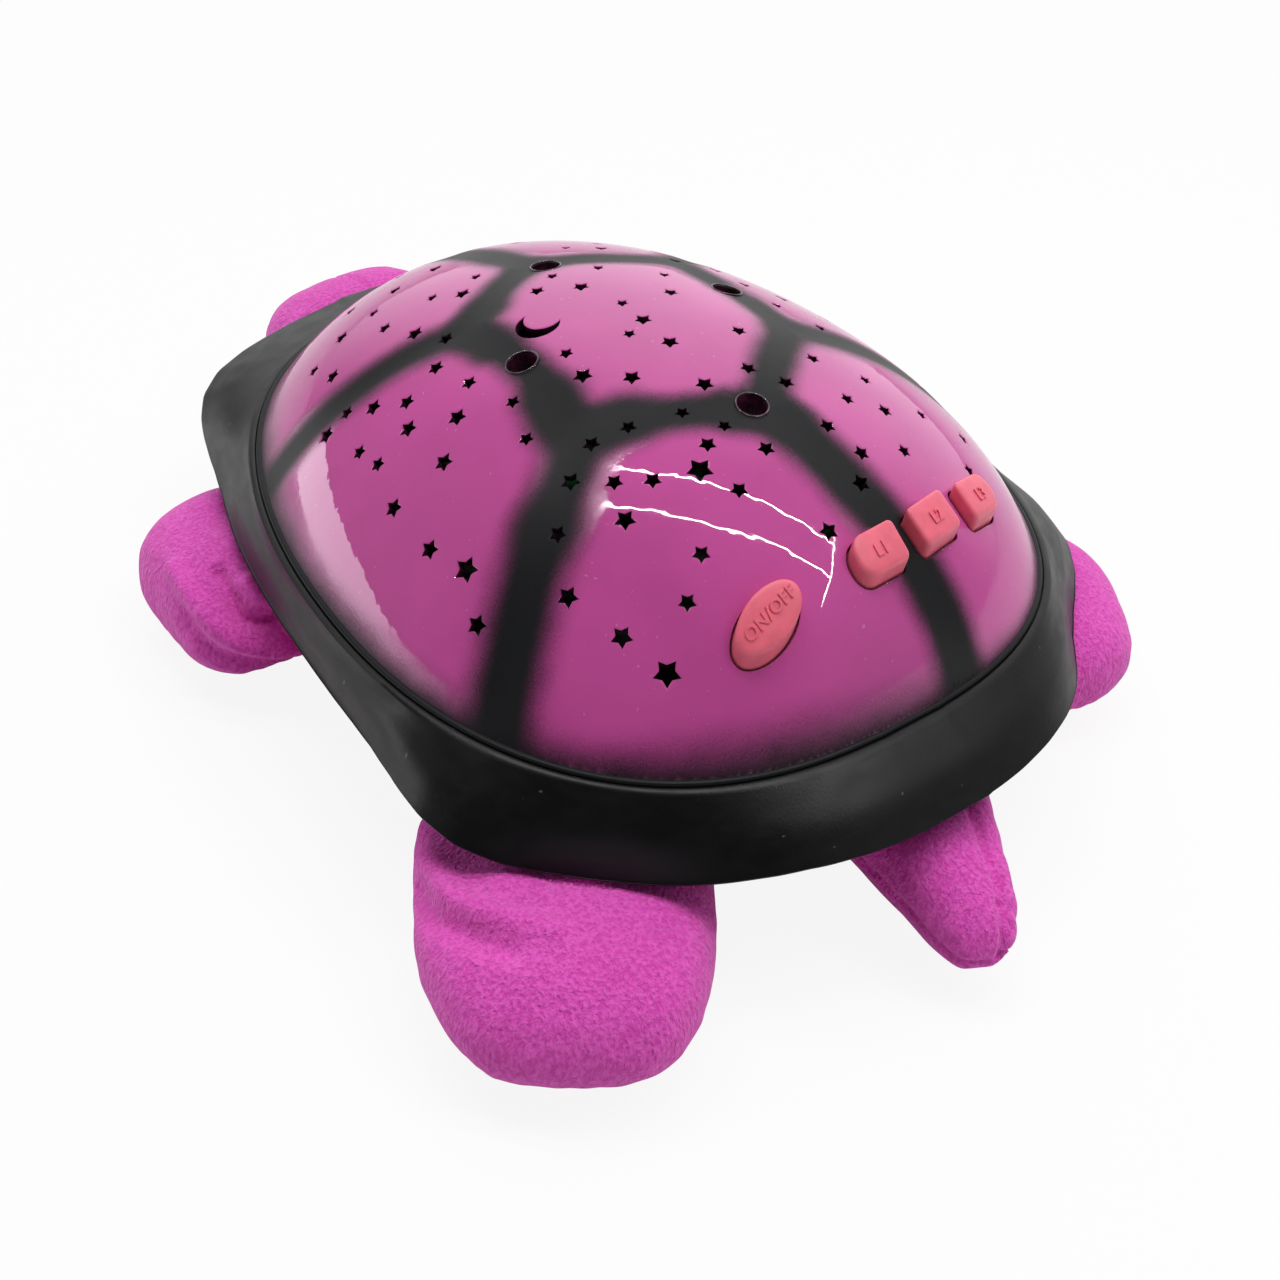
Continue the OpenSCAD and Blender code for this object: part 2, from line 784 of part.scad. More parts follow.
// Wires between the boards and down to the tray
wire_d = 1.8;
function from_board(u, v, w) = [
    u,
    v * cos(press_tilt) - w * sin(press_tilt),
    v * sin(press_tilt) + w * cos(press_tilt)
];
board_back = board_face - board_wall;
plate_top = plate_z + lamp_plate_wall;
loom_z = plate_top + wire_d / 2 + 0.2;
loom_routes = [
    [
        from_board(15, tail_end + 47, board_back), from_board(15, tail_end + 47, board_back - 4),
        [14, tail_end + 56, loom_z + 1], [12, -24, loom_z], [8.5, -15.5, loom_z], [8, -13.2, loom_z + 0.6],
        [8, -12, lamp_board_z - 1], [8, -12, lamp_board_z - 0.05]
    ],
    [
        [-6, -10, lamp_board_z - 0.05], [-6, -10, lamp_board_z - 1], [-6, -11.2, loom_z + 0.6],
        [-7, -14, loom_z], [-11, -20, loom_z], [-12, -22, plate_z], [-12, -20, -12],
        [-12, 14, -16.5], [-12, 20, -17], [-12, 22, tray_floor + 1.4], [-12, 22, tray_floor + 0.05]
    ]
];

// Ring of a wire at point i of its route
function wire_ring(route, i) = let (
    last = len(route) - 1,
    along = unit(route[min(i + 1, last)] - route[max(i - 1, 0)]),
    side = unit(cross(along, [1, 0.1, 0])),
    other = cross(side, along)
) [
    for (k = [0 : 7])
        route[i] + wire_d / 2 * (cos(45 * k) * side + sin(45 * k) * other)
];

module wire_loom() {
    color("#b02020") at_base() for (route = loom_routes)
        skin([for (i = [0 : len(route) - 1]) wire_ring(route, i)]);
}

// ---- batteries ----

cell_left = -bay_length / 2 + contact_wall + 0.1;

module battery(index) {
    way = index % 2 == 0 ? 1 : -1;
    nub = 1.2;
    color("#3b6ea8")
        at_bay(cell_z) translate([0, (index - 1) * cell_pitch, 0]) mirror([way < 0 ? 1 : 0, 0, 0])
        translate([cell_left, 0, 0]) rotate([0, 90, 0]) {
            cylinder(d = 3.8, h = nub + 1);
            translate([0, 0, nub]) cylinder(d = cell_d, h = cell_length - nub);
        }
}

spring_turns = 4;
spring_wire = 0.9;
spring_steps = 8;

// Ring i of a spring's wire, as a coil that narrows towards the cell
function coil_ring(i, count) = let (
    a = i * 360 / spring_steps,
    share = i / count,
    r = 3.6 - 1.2 * share,
    x = spring_wire / 2 + share * (spring_length - spring_wire)
) [
    for (k = [0 : 5])
        let (rr = r + spring_wire / 2 * cos(60 * k))
        [x + spring_wire / 2 * sin(60 * k), rr * cos(a), rr * sin(a)]
];

module battery_springs() {
    count = spring_turns * spring_steps;
    color("silver") for (index = [0 : 2])
        at_bay(cell_z) translate([0, (index - 1) * cell_pitch, 0])
            mirror([index % 2 == 0 ? 0 : 1, 0, 0])
            translate([bay_length / 2 - contact_wall - 0.05, 0, 0]) mirror([1, 0, 0])
            skin([for (i = [0 : count]) coil_ring(i, count)]);
}

module battery_contacts() {
    color("silver") for (side = [-1, 1])
        at_bay() translate([
            side * (bay_length - contact_wall) / 2 - contact_wall / 2,
            -bay_width / 2 + bay_gap,
            cell_z - 3.2
        ]) cube([contact_wall, bay_width - 2 * bay_gap, 8]);
}

// ---- plush body ----

plush_gap = 0.3;
belly_top = -5.2;
// Levels of the belly: share of the dome's outline, height
belly_levels = [
    [0.62, -base_height], [0.7, -base_height + 1.5], [0.78, -base_height + 6],
    [0.86, -base_height + 14], [0.93, -base_height + 24], [0.985, -base_height + 35],
    [1.015, belly_top - 2], [1, belly_top]
];

module belly_form(grow) {
    at_base() skin([
        for (level = belly_levels) [
            for (i = [0 : foot_count - 1])
                let (p = level[0] * foot[i] + grow * foot_normal(i)) [p[0], p[1], level[1]]
        ]
    ]);
}

module belly_cover() {
    color("#c845a8") difference() {
        belly_form(0);
        outline_block(-tray_inset + plush_gap, -tray_depth - plush_gap, 10);
        bay_block(
            tab_x - tab_length - flap_room, boss_end + flap_room, bay_width + 2 * flap_room,
            -base_height - 1, -tray_depth
        );
    }
}

limb_points = 18;

// Ring of a stuffed limb: centre, way it points, half width and half thickness
function limb_ring(centre, way, wide, thick) = let (side = [-sin(way), cos(way), 0]) [
    for (k = [0 : limb_points - 1])
        let (
            a = k * 360 / limb_points,
            c = sign(cos(a)) * pow(abs(cos(a)), 0.85),
            s = sign(sin(a)) * pow(abs(sin(a)), 0.85)
        )
        centre + side * wide * c + [0, 0, thick * s]
];

// Stations along a flipper: share of its length, sink, share of width and thickness
flipper_stations = [
    [0, 0, 0.9, 0.8], [0.2, 0.1, 0.97, 0.92], [0.4, 0.3, 1, 1], [0.6, 0.5, 1, 1],
    [0.78, 0.75, 0.91, 0.95], [0.9, 0.9, 0.77, 0.78], [0.97, 0.97, 0.56, 0.5], [1, 1, 0.36, 0.2]
];
flipper_root_z = -32.2;
flipper_tip_z = -base_height + flipper_half_thick + plush_gap;

module flipper(root, way, reach, half_width) {
    color("#c845a8") difference() {
        at_base() skin([
            for (s = flipper_stations)
                limb_ring(
                    [
                        root[0] + s[0] * reach * cos(way),
                        root[1] + s[0] * reach * sin(way),
                        flipper_root_z + (flipper_tip_z - flipper_root_z) * s[1]
                    ],
                    way, half_width * s[2], flipper_half_thick * s[3]
                )
        ]);
        belly_form(plush_gap);
    }
}

// Stations along the head: distance from its root, height, half width share, half thickness
head_stations = [
    [0, -25, 0.75, 14], [12, -24, 0.85, 16], [24, -23, 0.97, 17.5], [36, -23, 1, 18],
    [46, -24, 0.92, 16.5], [53, -25, 0.74, 13], [57, -26, 0.5, 8], [58.5, -27, 0.25, 4]
];
head_root_y = half_len - 12;

module head_form() {
    at_base() skin([
        for (s = head_stations)
            limb_ring([0, head_root_y + s[0], s[1]], 90, head_half_width * s[2], s[3])
    ]);
}

module head() {
    color("#c845a8") difference() {
        head_form();
        belly_form(plush_gap);
    }
}

module eyes() {
    color("black") difference() {
        for (side = [-1, 1])
            at_base(-24) translate([side * head_half_width * 0.42, head_root_y + 56.5, 0])
                sphere(d = eye_d, $fn = 32);
        head_form();
    }
}

// Stations along the tail: distance from its root, height, half width share, half thickness
tail_stations = [
    [0, -30, 1, 12], [14, -30, 0.92, 12], [28, -31, 0.7, 11.5], [38, -32, 0.5, 10],
    [46, -34, 0.35, 8], [49, -35, 0.22, 5]
];
tail_root = [2, tail_end + 12];
tail_way = -98;

module tail() {
    color("#c845a8") difference() {
        at_base() skin([
            for (s = tail_stations)
                limb_ring(
                    [
                        tail_root[0] + s[0] * cos(tail_way),
                        tail_root[1] + s[0] * sin(tail_way),
                        s[1]
                    ],
                    tail_way, tail_half_width * s[2], s[3]
                )
        ]);
        belly_form(plush_gap);
    }
}

front_root = plan(54, 58);
front_way = 4;
front_reach = 41;
rear_left_reach = 66;
rear_right_reach = 53;
rear_left_root = plan(-56, -58);
rear_right_root = plan(50, -50);
rear_left_way = -124;
rear_right_way = -34;

dome_shell();
rim_skirt();
base_tray();
lamp_plate();
belly_cover();
flipper([-front_root[0], front_root[1]], 180 - front_way, front_reach, front_half_width);  // flipper_front_left
flipper(front_root, front_way, front_reach, front_half_width);  // flipper_front_right
flipper(rear_left_root, rear_left_way, rear_left_reach, flipper_half_width);  // flipper_rear_left
flipper(rear_right_root, rear_right_way, rear_right_reach, flipper_half_width);  // flipper_rear_right
head();
tail();
eyes();
dome_screws();
button(-1);  // button_power
button(0);  // button_light_1
button(1);  // button_light_2
button(2);  // button_light_3
plunger(-1);  // plunger_power
plunger(0);  // plunger_light_1
plunger(1);  // plunger_light_2
plunger(2);  // plunger_light_3
tact_switches();
button_board();
light_board();
led_collar();
led(0, "#3060ff");  // led_blue
led(1, "#20c040");  // led_green
led(2, "#ffa020");  // led_amber
timer_parts();
board_screws();
plate_screws();
wire_loom();
battery(0);  // battery_1
battery(1);  // battery_2
battery(2);  // battery_3
battery_springs();
battery_contacts();
battery_door();
door_screw();
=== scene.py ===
# Star night light: a glossy star-pierced shell with a black rim on a plush turtle body.
# Sizes below are in millimetres, and meshes are made in metres. +Y is the head end.
import math

import bpy
import numpy as np
from mathutils import Matrix, Vector, noise
from mathutils.geometry import delaunay_2d_cdt


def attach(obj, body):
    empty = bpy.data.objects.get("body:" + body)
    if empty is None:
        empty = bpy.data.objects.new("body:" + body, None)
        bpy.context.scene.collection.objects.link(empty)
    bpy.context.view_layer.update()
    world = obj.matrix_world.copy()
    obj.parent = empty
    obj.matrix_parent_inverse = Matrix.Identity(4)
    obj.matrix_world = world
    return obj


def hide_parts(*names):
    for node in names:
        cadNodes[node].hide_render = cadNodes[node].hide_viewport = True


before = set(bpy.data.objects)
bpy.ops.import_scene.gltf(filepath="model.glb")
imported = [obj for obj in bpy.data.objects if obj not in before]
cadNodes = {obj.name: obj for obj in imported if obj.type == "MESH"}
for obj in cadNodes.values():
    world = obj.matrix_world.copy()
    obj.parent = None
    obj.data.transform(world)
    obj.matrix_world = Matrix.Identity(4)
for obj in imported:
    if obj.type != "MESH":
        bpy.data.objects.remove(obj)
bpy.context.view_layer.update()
mm = 0.001
print("stage: frame loaded,", len(cadNodes), "solids")

shell = {
    "halfLength": 100, "halfWidth": 81.5, "height": 49, "endHalf": 9,
    "outlinePower": 2.16, "endPower": 0.4, "egg": 0.11,
    "base": 50,            # height of the shell's foot above the floor
    "wall": 2.2,
    "meshStep": 1.4,       # spacing of the mesh over the shell
    "valleyDeep": 0.3, "valleyHalf": 7, "valleyFade": 10,
    "chamfer": 0.22, "edgeShine": 0.9,   # worn edge round each star, and how far its shine leans inwards
    "holeRoom": 0.55, "wellRoom": 2.6,   # no mesh points this near a hole's edge
    "footSpray": 10.5,     # how far the spray reaches up from the foot
    "pink": (0.57, 0.083, 0.335), "charcoal": (0.0085, 0.009, 0.0105),
    "drops": 3.2, "drift": 1.6,          # how far droplets and clouds break up the spray's edge
    "gloss": 0.015, "sprayDull": 0.42, "specular": 0.5, "spraySpecular": -0.32,
}
axisDrop = (shell["halfWidth"] ** 2 - shell["height"] ** 2) / (2 * shell["height"])


def halfWidth(y):
    share = np.clip(1 - np.abs(np.asarray(y, float) / shell["halfLength"]) ** shell["outlinePower"], 0, None)
    egg = 1 - shell["egg"] * np.asarray(y) / shell["halfLength"]
    return np.maximum(shell["endHalf"], shell["halfWidth"] * share ** shell["endPower"] * egg)


def shellRadius(y):
    return np.hypot(halfWidth(y), axisDrop)


def shellZ(x, y):
    return np.sqrt(np.maximum(shellRadius(y) ** 2 - x * x, axisDrop ** 2)) - axisDrop


def shellNormal(x, y):
    step = 0.25
    slope = (shellRadius(y + step) - shellRadius(y - step)) / (2 * step)
    normal = np.stack([x, -shellRadius(y) * slope, shellZ(x, y) + axisDrop], -1)
    return normal / np.linalg.norm(normal, axis=-1, keepdims=True)


def onShell(points):
    points = np.asarray(points, float)
    x, y = points[:, 0], points[:, 1]
    return np.stack([x, y, shellZ(x, y)], -1)


def evenly(points, step, closed=False):
    # the same line with its points at an even spacing
    points = np.asarray(points, float)
    if closed:
        points = np.vstack([points, points[:1]])
    run = np.concatenate([[0], np.cumsum(np.linalg.norm(np.diff(points, axis=0), axis=1))])
    count = max(2, int(round(run[-1] / step)))
    at = np.linspace(0, run[-1], count + 1)
    line = np.stack([np.interp(at, run, points[:, k]) for k in range(points.shape[1])], -1)
    return line[:-1] if closed else line


def curved(points, steps=8):
    # a smooth line through the points
    p = [np.asarray(q, float) for q in points]
    p = [2 * p[0] - p[1]] + p + [2 * p[-1] - p[-2]]
    line = []
    for k in range(1, len(p) - 2):
        for t in np.arange(0, 1, 1 / steps):
            line.append(0.5 * (2 * p[k] + (p[k + 1] - p[k - 1]) * t
                               + (2 * p[k - 1] - 5 * p[k] + 4 * p[k + 1] - p[k + 2]) * t ** 2
                               + (3 * p[k] - p[k - 1] - 3 * p[k + 1] + p[k + 2]) * t ** 3))
    return np.array(line + [p[-2]])


def smoothstep(x, low, high):
    t = np.clip((x - low) / (high - low), 0, 1)
    return t * t * (3 - 2 * t)


def peak(distance, half):
    # 1 on a line, falling to 0 at half away from it
    return np.clip(1 - np.abs(distance) / half, 0, 1)


def halve(shape, low, high, rounds, isLow):
    # closes in on the value where isLow turns false
    low, high = np.full(shape, low), np.full(shape, high)
    for _ in range(rounds):
        middle = (low + high) / 2
        under = isLow(middle)
        low, high = np.where(under, middle, low), np.where(under, high, middle)
    return (low + high) / 2


def circlePoints(count):
    return np.arange(count) * 2 * math.pi / count


def heading(way):
    # level unit vectors along a way in degrees and to its left
    c, s = math.cos(math.radians(way)), math.sin(math.radians(way))
    return np.array([c, s, 0]), np.array([-s, c, 0])


def nearestSquare(points, line):
    # squared distance to the nearest point of the line, and which one that is
    near, index = np.full(len(points), 1e9), np.zeros(len(points), int)
    for k, q in enumerate(line):
        gap = ((points - q) ** 2).sum(1)
        index = np.where(gap < near, k, index)
        near = np.minimum(gap, near)
    return near, index


def fromSegment(points, a, b):
    # the way to each point from its nearest place on the segment a to b
    t = np.clip(((points - a) @ (b - a)) / max((b - a) @ (b - a), 1e-9), 0, 1)
    return points - (a + t[:, None] * (b - a))


# Foot of the shell, from the tail round +X to the head and back, with its outward direction
footY = -shell["halfLength"] * np.cos(np.radians(np.arange(0, 180.01, 0.25)))
rightSide = np.stack([halfWidth(footY), footY], -1)
footLine = evenly(np.vstack([rightSide, rightSide[::-1] * [-1, 1]]), shell["meshStep"], closed=True)
footAlong = np.roll(footLine, -2, 0) - np.roll(footLine, 2, 0)
footOut = np.stack([footAlong[:, 1], -footAlong[:, 0]], -1)
footOut /= np.linalg.norm(footOut, axis=1, keepdims=True)
footTurn = np.degrees(np.arccos(np.clip(-footLine[:, 1] / shell["halfLength"], -1, 1)))
footPoints = np.hstack([footLine, np.zeros((len(footLine), 1))])

# x, y and size over the points of each star; those of the side are mirrored
centreStars = [
    (-10, 22, 5), (-3, 26, 4), (-2, 16, 5.5), (8, 23, 4), (19, 12, 4), (13, 2, 5),
    (0, 3, 4), (-1, -6, 5.5), (-7, -9, 4), (15, -20, 5), (-2, -17, 5.5), (-21, -5, 4.5),
    (-23, -14, 6), (-16, -22, 5.5), (-5, -33, 5.5), (7, -33, 5), (-14, -37, 4), (12, -40, 5),
]
rearStars = [
    (-9, -45, 4), (-33, -31, 5), (-25, -33, 4.5), (-41, -35, 5.5), (-35, -42, 5),
    (-29, -47, 5), (-20, -51, 7.5), (-15, -47, 5), (-5, -54, 5), (-16, -59, 5),
    (-38, -50, 6), (-49, -42, 5), (-30, -65, 5), (-54, -53, 6), (-37, -70, 5),
    (-50, -66, 6), (-46, -76, 7.5), (-4, -74, 5.5),
    (12, -54, 5), (15, -62, 5), (10, -68, 5.5), (23, -48, 4.5), (27, -63, 4.5),
    (31, -52, 5), (25, -34, 4.5), (34, -42, 4), (43, -52, 4), (46, -66, 5), (55, -55, 5),
]
sideStars = [
    (-41, -19, 4.5), (-37, -8, 4.5), (-39, 6, 5), (-40, 18, 5.5), (-46, 0, 6), (-53, 9, 6),
    (-49, 16, 5.5), (-53, 24, 6), (-56, 31, 5), (-61, 17, 5), (-61, 9, 5), (-54, -7, 6),
    (-65, -4, 6), (-66, -20, 6), (-64, -31, 7.5), (-68, -41, 6), (-61, 32, 6),
    (-33, 25, 5), (-35, 35, 6), (-36, 47, 5), (-20, 38, 5.5), (-13, 43, 4), (-24, 45, 4),
    (-32, 59, 4.5), (-40, 61, 6), (-23, 64, 5.5), (-12, 63, 6), (-50, 48, 6), (-49, 59, 5),
    (-14, 77, 5), (-30, 74, 5),
]
starWaist, starShare = 0.56, 0.8
stars = centreStars + rearStars + sideStars + [(-x, y, size) for x, y, size in sideStars]
stars = [(x, y, size * starShare) for x, y, size in stars]
moon = {"place": (-18.7, 9.2), "across": 10.2, "turn": 30, "bite": 0.27, "biteAcross": 0.88}
wells = {
    "places": [(0, -43), (0, 33), (-28.7, 0.7), (28.7, 0.7)],
    "across": 6.7, "deep": 8, "floor": 2.5, "seatGap": 0.02, "rim": 0.6, "lip": 0.2,
    "boss": (5.4, 5.9),    # radii of the boss under the shell, below the well's edge and its rim
}
# Lines between the shell's plates: half width of the black spray, its softness, then the points
frontLine = [(-30, 23), (-40, 29), (-50, 34), (-60, 39), (-70, 43.5)]
plateLines = [
    (6.2, 3.8, frontLine),
    (6.2, 3.8, [(-x, y) for x, y in frontLine]),
    (7.4, 4.6, [(-33, -27.5), (-42, -34.5), (-50, -39.3)]),
    (8.2, 4.8, [(-50, -39.3), (-60, -46.3), (-70, -54), (-77, -59.5)]),
    (6.8, 3.8, [(30, -22), (40, -25.5), (50, -29), (60, -34.5), (70, -43), (77, -50)]),
    (5.5, 2.9, [(2, -45), (-6, -41.5), (-20, -34), (-28, -30.5), (-32.5, -27), (-33, -20), (-30.5, -10),
                (-28.8, 0), (-28.8, 10), (-29.5, 18), (-29, 23), (-22, 26.5), (-14, 31),
                (-7, 34.5), (-2, 36.5)]),
    (5.5, 2.9, [(-2, 36.5), (5, 33.5), (12, 30), (20, 25.8), (27, 22.5), (30, 18), (30, 10), (30, 0),
                (29.5, -10), (28.5, -18), (24.5, -24.5), (18.5, -29.5), (10, -37), (2, -45)]),
    (7.4, 3.6, [(2, -45), (4.5, -55), (6.5, -65), (9.5, -75), (12.8, -85), (16, -95), (17.5, -99)]),
    (5.9, 3.0, [(-2, 36.5), (-2.3, 50), (-1.5, 65), (0, 80), (0, 99)]),
    # the spray pools where lines meet
    (7.8, 3.8, [(-31.5, -14), (-33.5, -22), (-30, -28.5), (-24, -31)]),
    (6.5, 3.5, [(-29, 12), (-28, 22), (-22, 26)]),
    (7.2, 3, [(-4, -43), (2, -46.5), (4, -50)]),
]

# The buttons stand on an inclined board: u runs across it, v up its slope and w out
keys = {
    "tilt": 12, "rise": 3.3, "crown": 0.06, "gap": 0.5,
    "flange": 1.3, "flangeWall": 1.2, "flangeClear": 0.4,
    "size": (13, 8.2), "u": [2.9, 20.9, 38.9], "v": [-73.4, -71.1, -67.8], "slant": [4, 12, 14],
    "corner": 1.4, "outerCorner": 3.7,
    "oval": (16.4, 9.6), "ovalPlace": (-25.8, -74.4), "ovalSlant": 13,
    "edge": 0.9,           # rounding of a cap's top edge
    "coral": (0.92, 0.165, 0.245), "rough": (0.34, 0.46),
    "letterSize": 3.4, "letterSpace": 1.08,
    "letterRise": 0.45, "letterBevel": 0.09, "letterRound": 0.12, "letterFoot": -0.2,
    # name, node, body, label and where the label sits on the cap
    "pieces": [
        ("powerKey", "button_power", "power_key", "ON/OFF", (0, 0)),
        ("lightKey1", "button_light_1", "light_key_1", "L1", (0, -0.6)),
        ("lightKey2", "button_light_2", "light_key_2", "L2", (0, -0.6)),
        ("lightKey3", "button_light_3", "light_key_3", "L3", (0, -0.6)),
    ],
}
keyTilt = math.radians(keys["tilt"])


def fromBoard(u, v, w):
    return np.stack([
        u + 0 * w,
        v * math.cos(keyTilt) - w * math.sin(keyTilt),
        v * math.sin(keyTilt) + w * math.cos(keyTilt),
    ], -1)


def boardHeight(u, v, rise):
    # how far along w the shell's surface, grown by rise, lies over u, v
    def isUnder(w):
        p = fromBoard(u, v, w)
        x, y, z = p[..., 0], p[..., 1], p[..., 2]
        return (z - shellZ(x, y)) * shellNormal(x, y)[..., 2] - rise < 0

    return halve(np.shape(u), 10.0, 80.0, 44, isUnder)


def roundedBox(length, depth, corners):
    # outline of a block with its own radius at each corner, anticlockwise from lower left
    line = []
    signs = [(-1, -1), (1, -1), (1, 1), (-1, 1)]
    for k, (radius, (sx, sy)) in enumerate(zip(corners, signs)):
        centre = (sx * (length / 2 - radius), sy * (depth / 2 - radius))
        for a in np.linspace(180 + 90 * k, 270 + 90 * k, 9):
            line.append((centre[0] + radius * math.cos(math.radians(a)),
                         centre[1] + radius * math.sin(math.radians(a))))
    return np.array(line)


def keySpot(index):
    # middle and slant of a button; index -1 is the oval one
    if index < 0:
        return keys["ovalPlace"], keys["ovalSlant"]
    return (keys["u"][index], keys["v"][index]), keys["slant"][index]


def keyOutline(index, grow):
    if index < 0:
        a = np.radians(np.arange(0, 360, 7.5))
        long, short = (across / 2 + grow for across in keys["oval"])
        line = np.stack([long * np.cos(a), short * np.sin(a)], -1)
    else:
        left = keys["outerCorner"] if index == 0 else keys["corner"]
        right = keys["outerCorner"] if index == 2 else keys["corner"]
        radii = [max(0.15, r + grow) for r in (left, right, right, left)]
        line = roundedBox(keys["size"][0] + 2 * grow, keys["size"][1] + 2 * grow, radii)
    place, slant = keySpot(index)
    c, s = math.cos(math.radians(slant)), math.sin(math.radians(slant))
    return line @ np.array([[c, s], [-s, c]]) + np.array(place)


def newPiece(name, points, faces, body="body"):
    mesh = bpy.data.meshes.new(name)
    mesh.from_pydata([tuple(p) for p in np.asarray(points, float) * mm], [], [tuple(f) for f in faces])
    mesh.validate()
    mesh.polygons.foreach_set("use_smooth", [True] * len(mesh.polygons))
    piece = bpy.data.objects.new(name, mesh)
    bpy.context.scene.collection.objects.link(piece)
    if body:
        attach(piece, body)
    return piece


def tubeFaces(levels, count, upFirst=True):
    # quads between rings of count points that lie one after another
    faces = []
    for level in range(levels - 1):
        for k in range(count):
            low, lowNext = level * count + k, level * count + (k + 1) % count
            high, highNext = low + count, lowNext + count
            faces.append((low, high, highNext, lowNext) if upFirst else (low, lowNext, highNext, high))
    return faces


def newMaterial(name, **sockets):
    material = bpy.data.materials.new(name)
    material.use_nodes = True
    surface = material.node_tree.nodes["Principled BSDF"]
    for socket, value in sockets.items():
        surface.inputs[socket.replace("_", " ")].default_value = value
    return material


def addNode(material, kind, **settings):
    # a setting that starts with in_ is the value of an input, or the output joined to it
    tree = material.node_tree
    node = tree.nodes.new(kind)
    for key, value in settings.items():
        if hasattr(node, key) and not key.startswith("in_"):
            setattr(node, key, value)
            continue
        socket = node.inputs[int(key[3:])] if key[3:].isdigit() else node.inputs[key[3:].replace("_", " ")]
        if isinstance(value, bpy.types.NodeSocket):
            tree.links.new(value, socket)
        else:
            socket.default_value = value
    return node


def join(material, source, socket):
    tree = material.node_tree
    tree.links.new(source, tree.nodes["Principled BSDF"].inputs[socket])


def objectNoise(material, scale, detail=4, stretch=(1, 1, 1), rough=0.5):
    place = addNode(material, "ShaderNodeTexCoord").outputs["Object"]
    mapped = addNode(material, "ShaderNodeMapping", in_Vector=place)
    mapped.inputs["Scale"].default_value = stretch
    return addNode(material, "ShaderNodeTexNoise", in_Vector=mapped.outputs[0], in_Scale=scale,
                   in_Detail=detail, in_Roughness=rough).outputs["Fac"]


def ramp(material, source, low, high, fromZero=0.0, toOne=1.0):
    return addNode(material, "ShaderNodeMapRange", interpolation_type="SMOOTHSTEP", in_Value=source,
                   in_1=low, in_2=high, in_3=fromZero, in_4=toOne).outputs[0]


def calc(material, operation, a, b=0.0, c=0.0):
    return addNode(material, "ShaderNodeMath", operation=operation, in_0=a, in_1=b, in_2=c).outputs[0]


def mixColour(material, share, a, b):
    node = addNode(material, "ShaderNodeMix", data_type="RGBA")
    for index, value in ((0, share), (6, a), (7, b)):
        if isinstance(value, bpy.types.NodeSocket):
            material.node_tree.links.new(value, node.inputs[index])
        else:
            node.inputs[index].default_value = value if index == 0 else (*value, 1)
    return node.outputs[2]


def bumps(material, height, distance, strength=1.0, below=None):
    node = addNode(material, "ShaderNodeBump", in_Height=height, in_Distance=distance, in_Strength=strength)
    if below is not None:
        material.node_tree.links.new(below, node.inputs["Normal"])
    return node.outputs[0]


def blotches(material, spots, span, low, high):
    # two tones mixed by a noise of (scale, detail), where span is the noise's range from one to the other
    share = objectNoise(material, *spots)
    return mixColour(material, ramp(material, share, *span) if span else share, low, high)


def darker(tone, share):
    return tuple(share * c for c in tone)


def makeShellPaint():
    material = newMaterial("shellPaint", IOR=1.5)
    spray = addNode(material, "ShaderNodeAttribute", attribute_name="spray").outputs["Fac"]
    specks = objectNoise(material, 2600, 3, rough=0.65)
    clouds = objectNoise(material, 120, 4)
    # the spray's edge breaks up into droplets where it is half covered
    half = calc(material, "MULTIPLY", spray, calc(material, "SUBTRACT", 1.0, spray))
    drops = calc(material, "MULTIPLY", calc(material, "SUBTRACT", specks, 0.5), shell["drops"])
    drift = calc(material, "MULTIPLY", calc(material, "SUBTRACT", clouds, 0.5), shell["drift"])
    cover = calc(material, "MULTIPLY_ADD", half, calc(material, "ADD", drops, drift), spray)
    cover = addNode(material, "ShaderNodeClamp", in_Value=cover).outputs[0]
    tone = blotches(material, (35, 5), (0.35, 0.65), shell["pink"], darker(shell["pink"], 0.9))
    dust = ramp(material, objectNoise(material, 900, 2, rough=0.3), 0.74, 0.8)
    tone = mixColour(material, calc(material, "MULTIPLY", dust, 0.25), tone, (0.75, 0.45, 0.6))
    join(material, mixColour(material, cover, tone, shell["charcoal"]), "Base Color")
    smear = ramp(material, objectNoise(material, 60, 5, (1, 1, 0.4)), 0.4, 0.75, 0.0, 0.03)
    # the spray is duller than the pink
    rough = calc(material, "MULTIPLY_ADD", cover, shell["sprayDull"], shell["gloss"])
    join(material, calc(material, "ADD", rough, smear), "Roughness")
    shine = calc(material, "MULTIPLY_ADD", cover, shell["spraySpecular"], shell["specular"])
    join(material, shine, "Specular IOR Level")
    ripple = bumps(material, objectNoise(material, 75, 3), 0.0006, 0.22)
    grit = calc(material, "MULTIPLY", specks, cover)
    join(material, bumps(material, grit, 0.00004, 0.6, ripple), "Normal")
    return material


def makeInnerFinish(name, rough, low, high, spots, span=None, grain=None):
    material = newMaterial(name, Roughness=rough)
    join(material, blotches(material, spots, span, low, high), "Base Color")
    if grain:
        scale, detail, height = grain
        join(material, bumps(material, objectNoise(material, scale, detail), height, 0.5), "Normal")
    return material


shellPaint = makeShellPaint()
# the inside of the shell and the walls of its holes: a dark plum that paints the shade inside the shell
paintedShadeInside = makeInnerFinish("paintedShadeInside", 0.45, (0.02, 0.005, 0.012), (0.05, 0.009, 0.026), (300, 4))
# the walls and floor of the screw wells: the shell's pink plastic, darkened with painted shade
wellPinkPaintedShade = makeInnerFinish("wellPinkPaintedShade", 0.22, (0.035, 0.006, 0.018), (0.10, 0.014, 0.05),
                           (420, 4), (0.35, 0.65), (700, 3, 0.0001))
# the lips round the wells: a pale tone that paints a highlight along them
wellLipPaintedHighlight = makeInnerFinish("wellLipPaintedHighlight", 0.16, (0.06, 0.035, 0.05), (0.17, 0.12, 0.14),
                          (500, 3), (0.4, 0.7), (900, 2, 0.00003))
print("stage: shell finishes made")


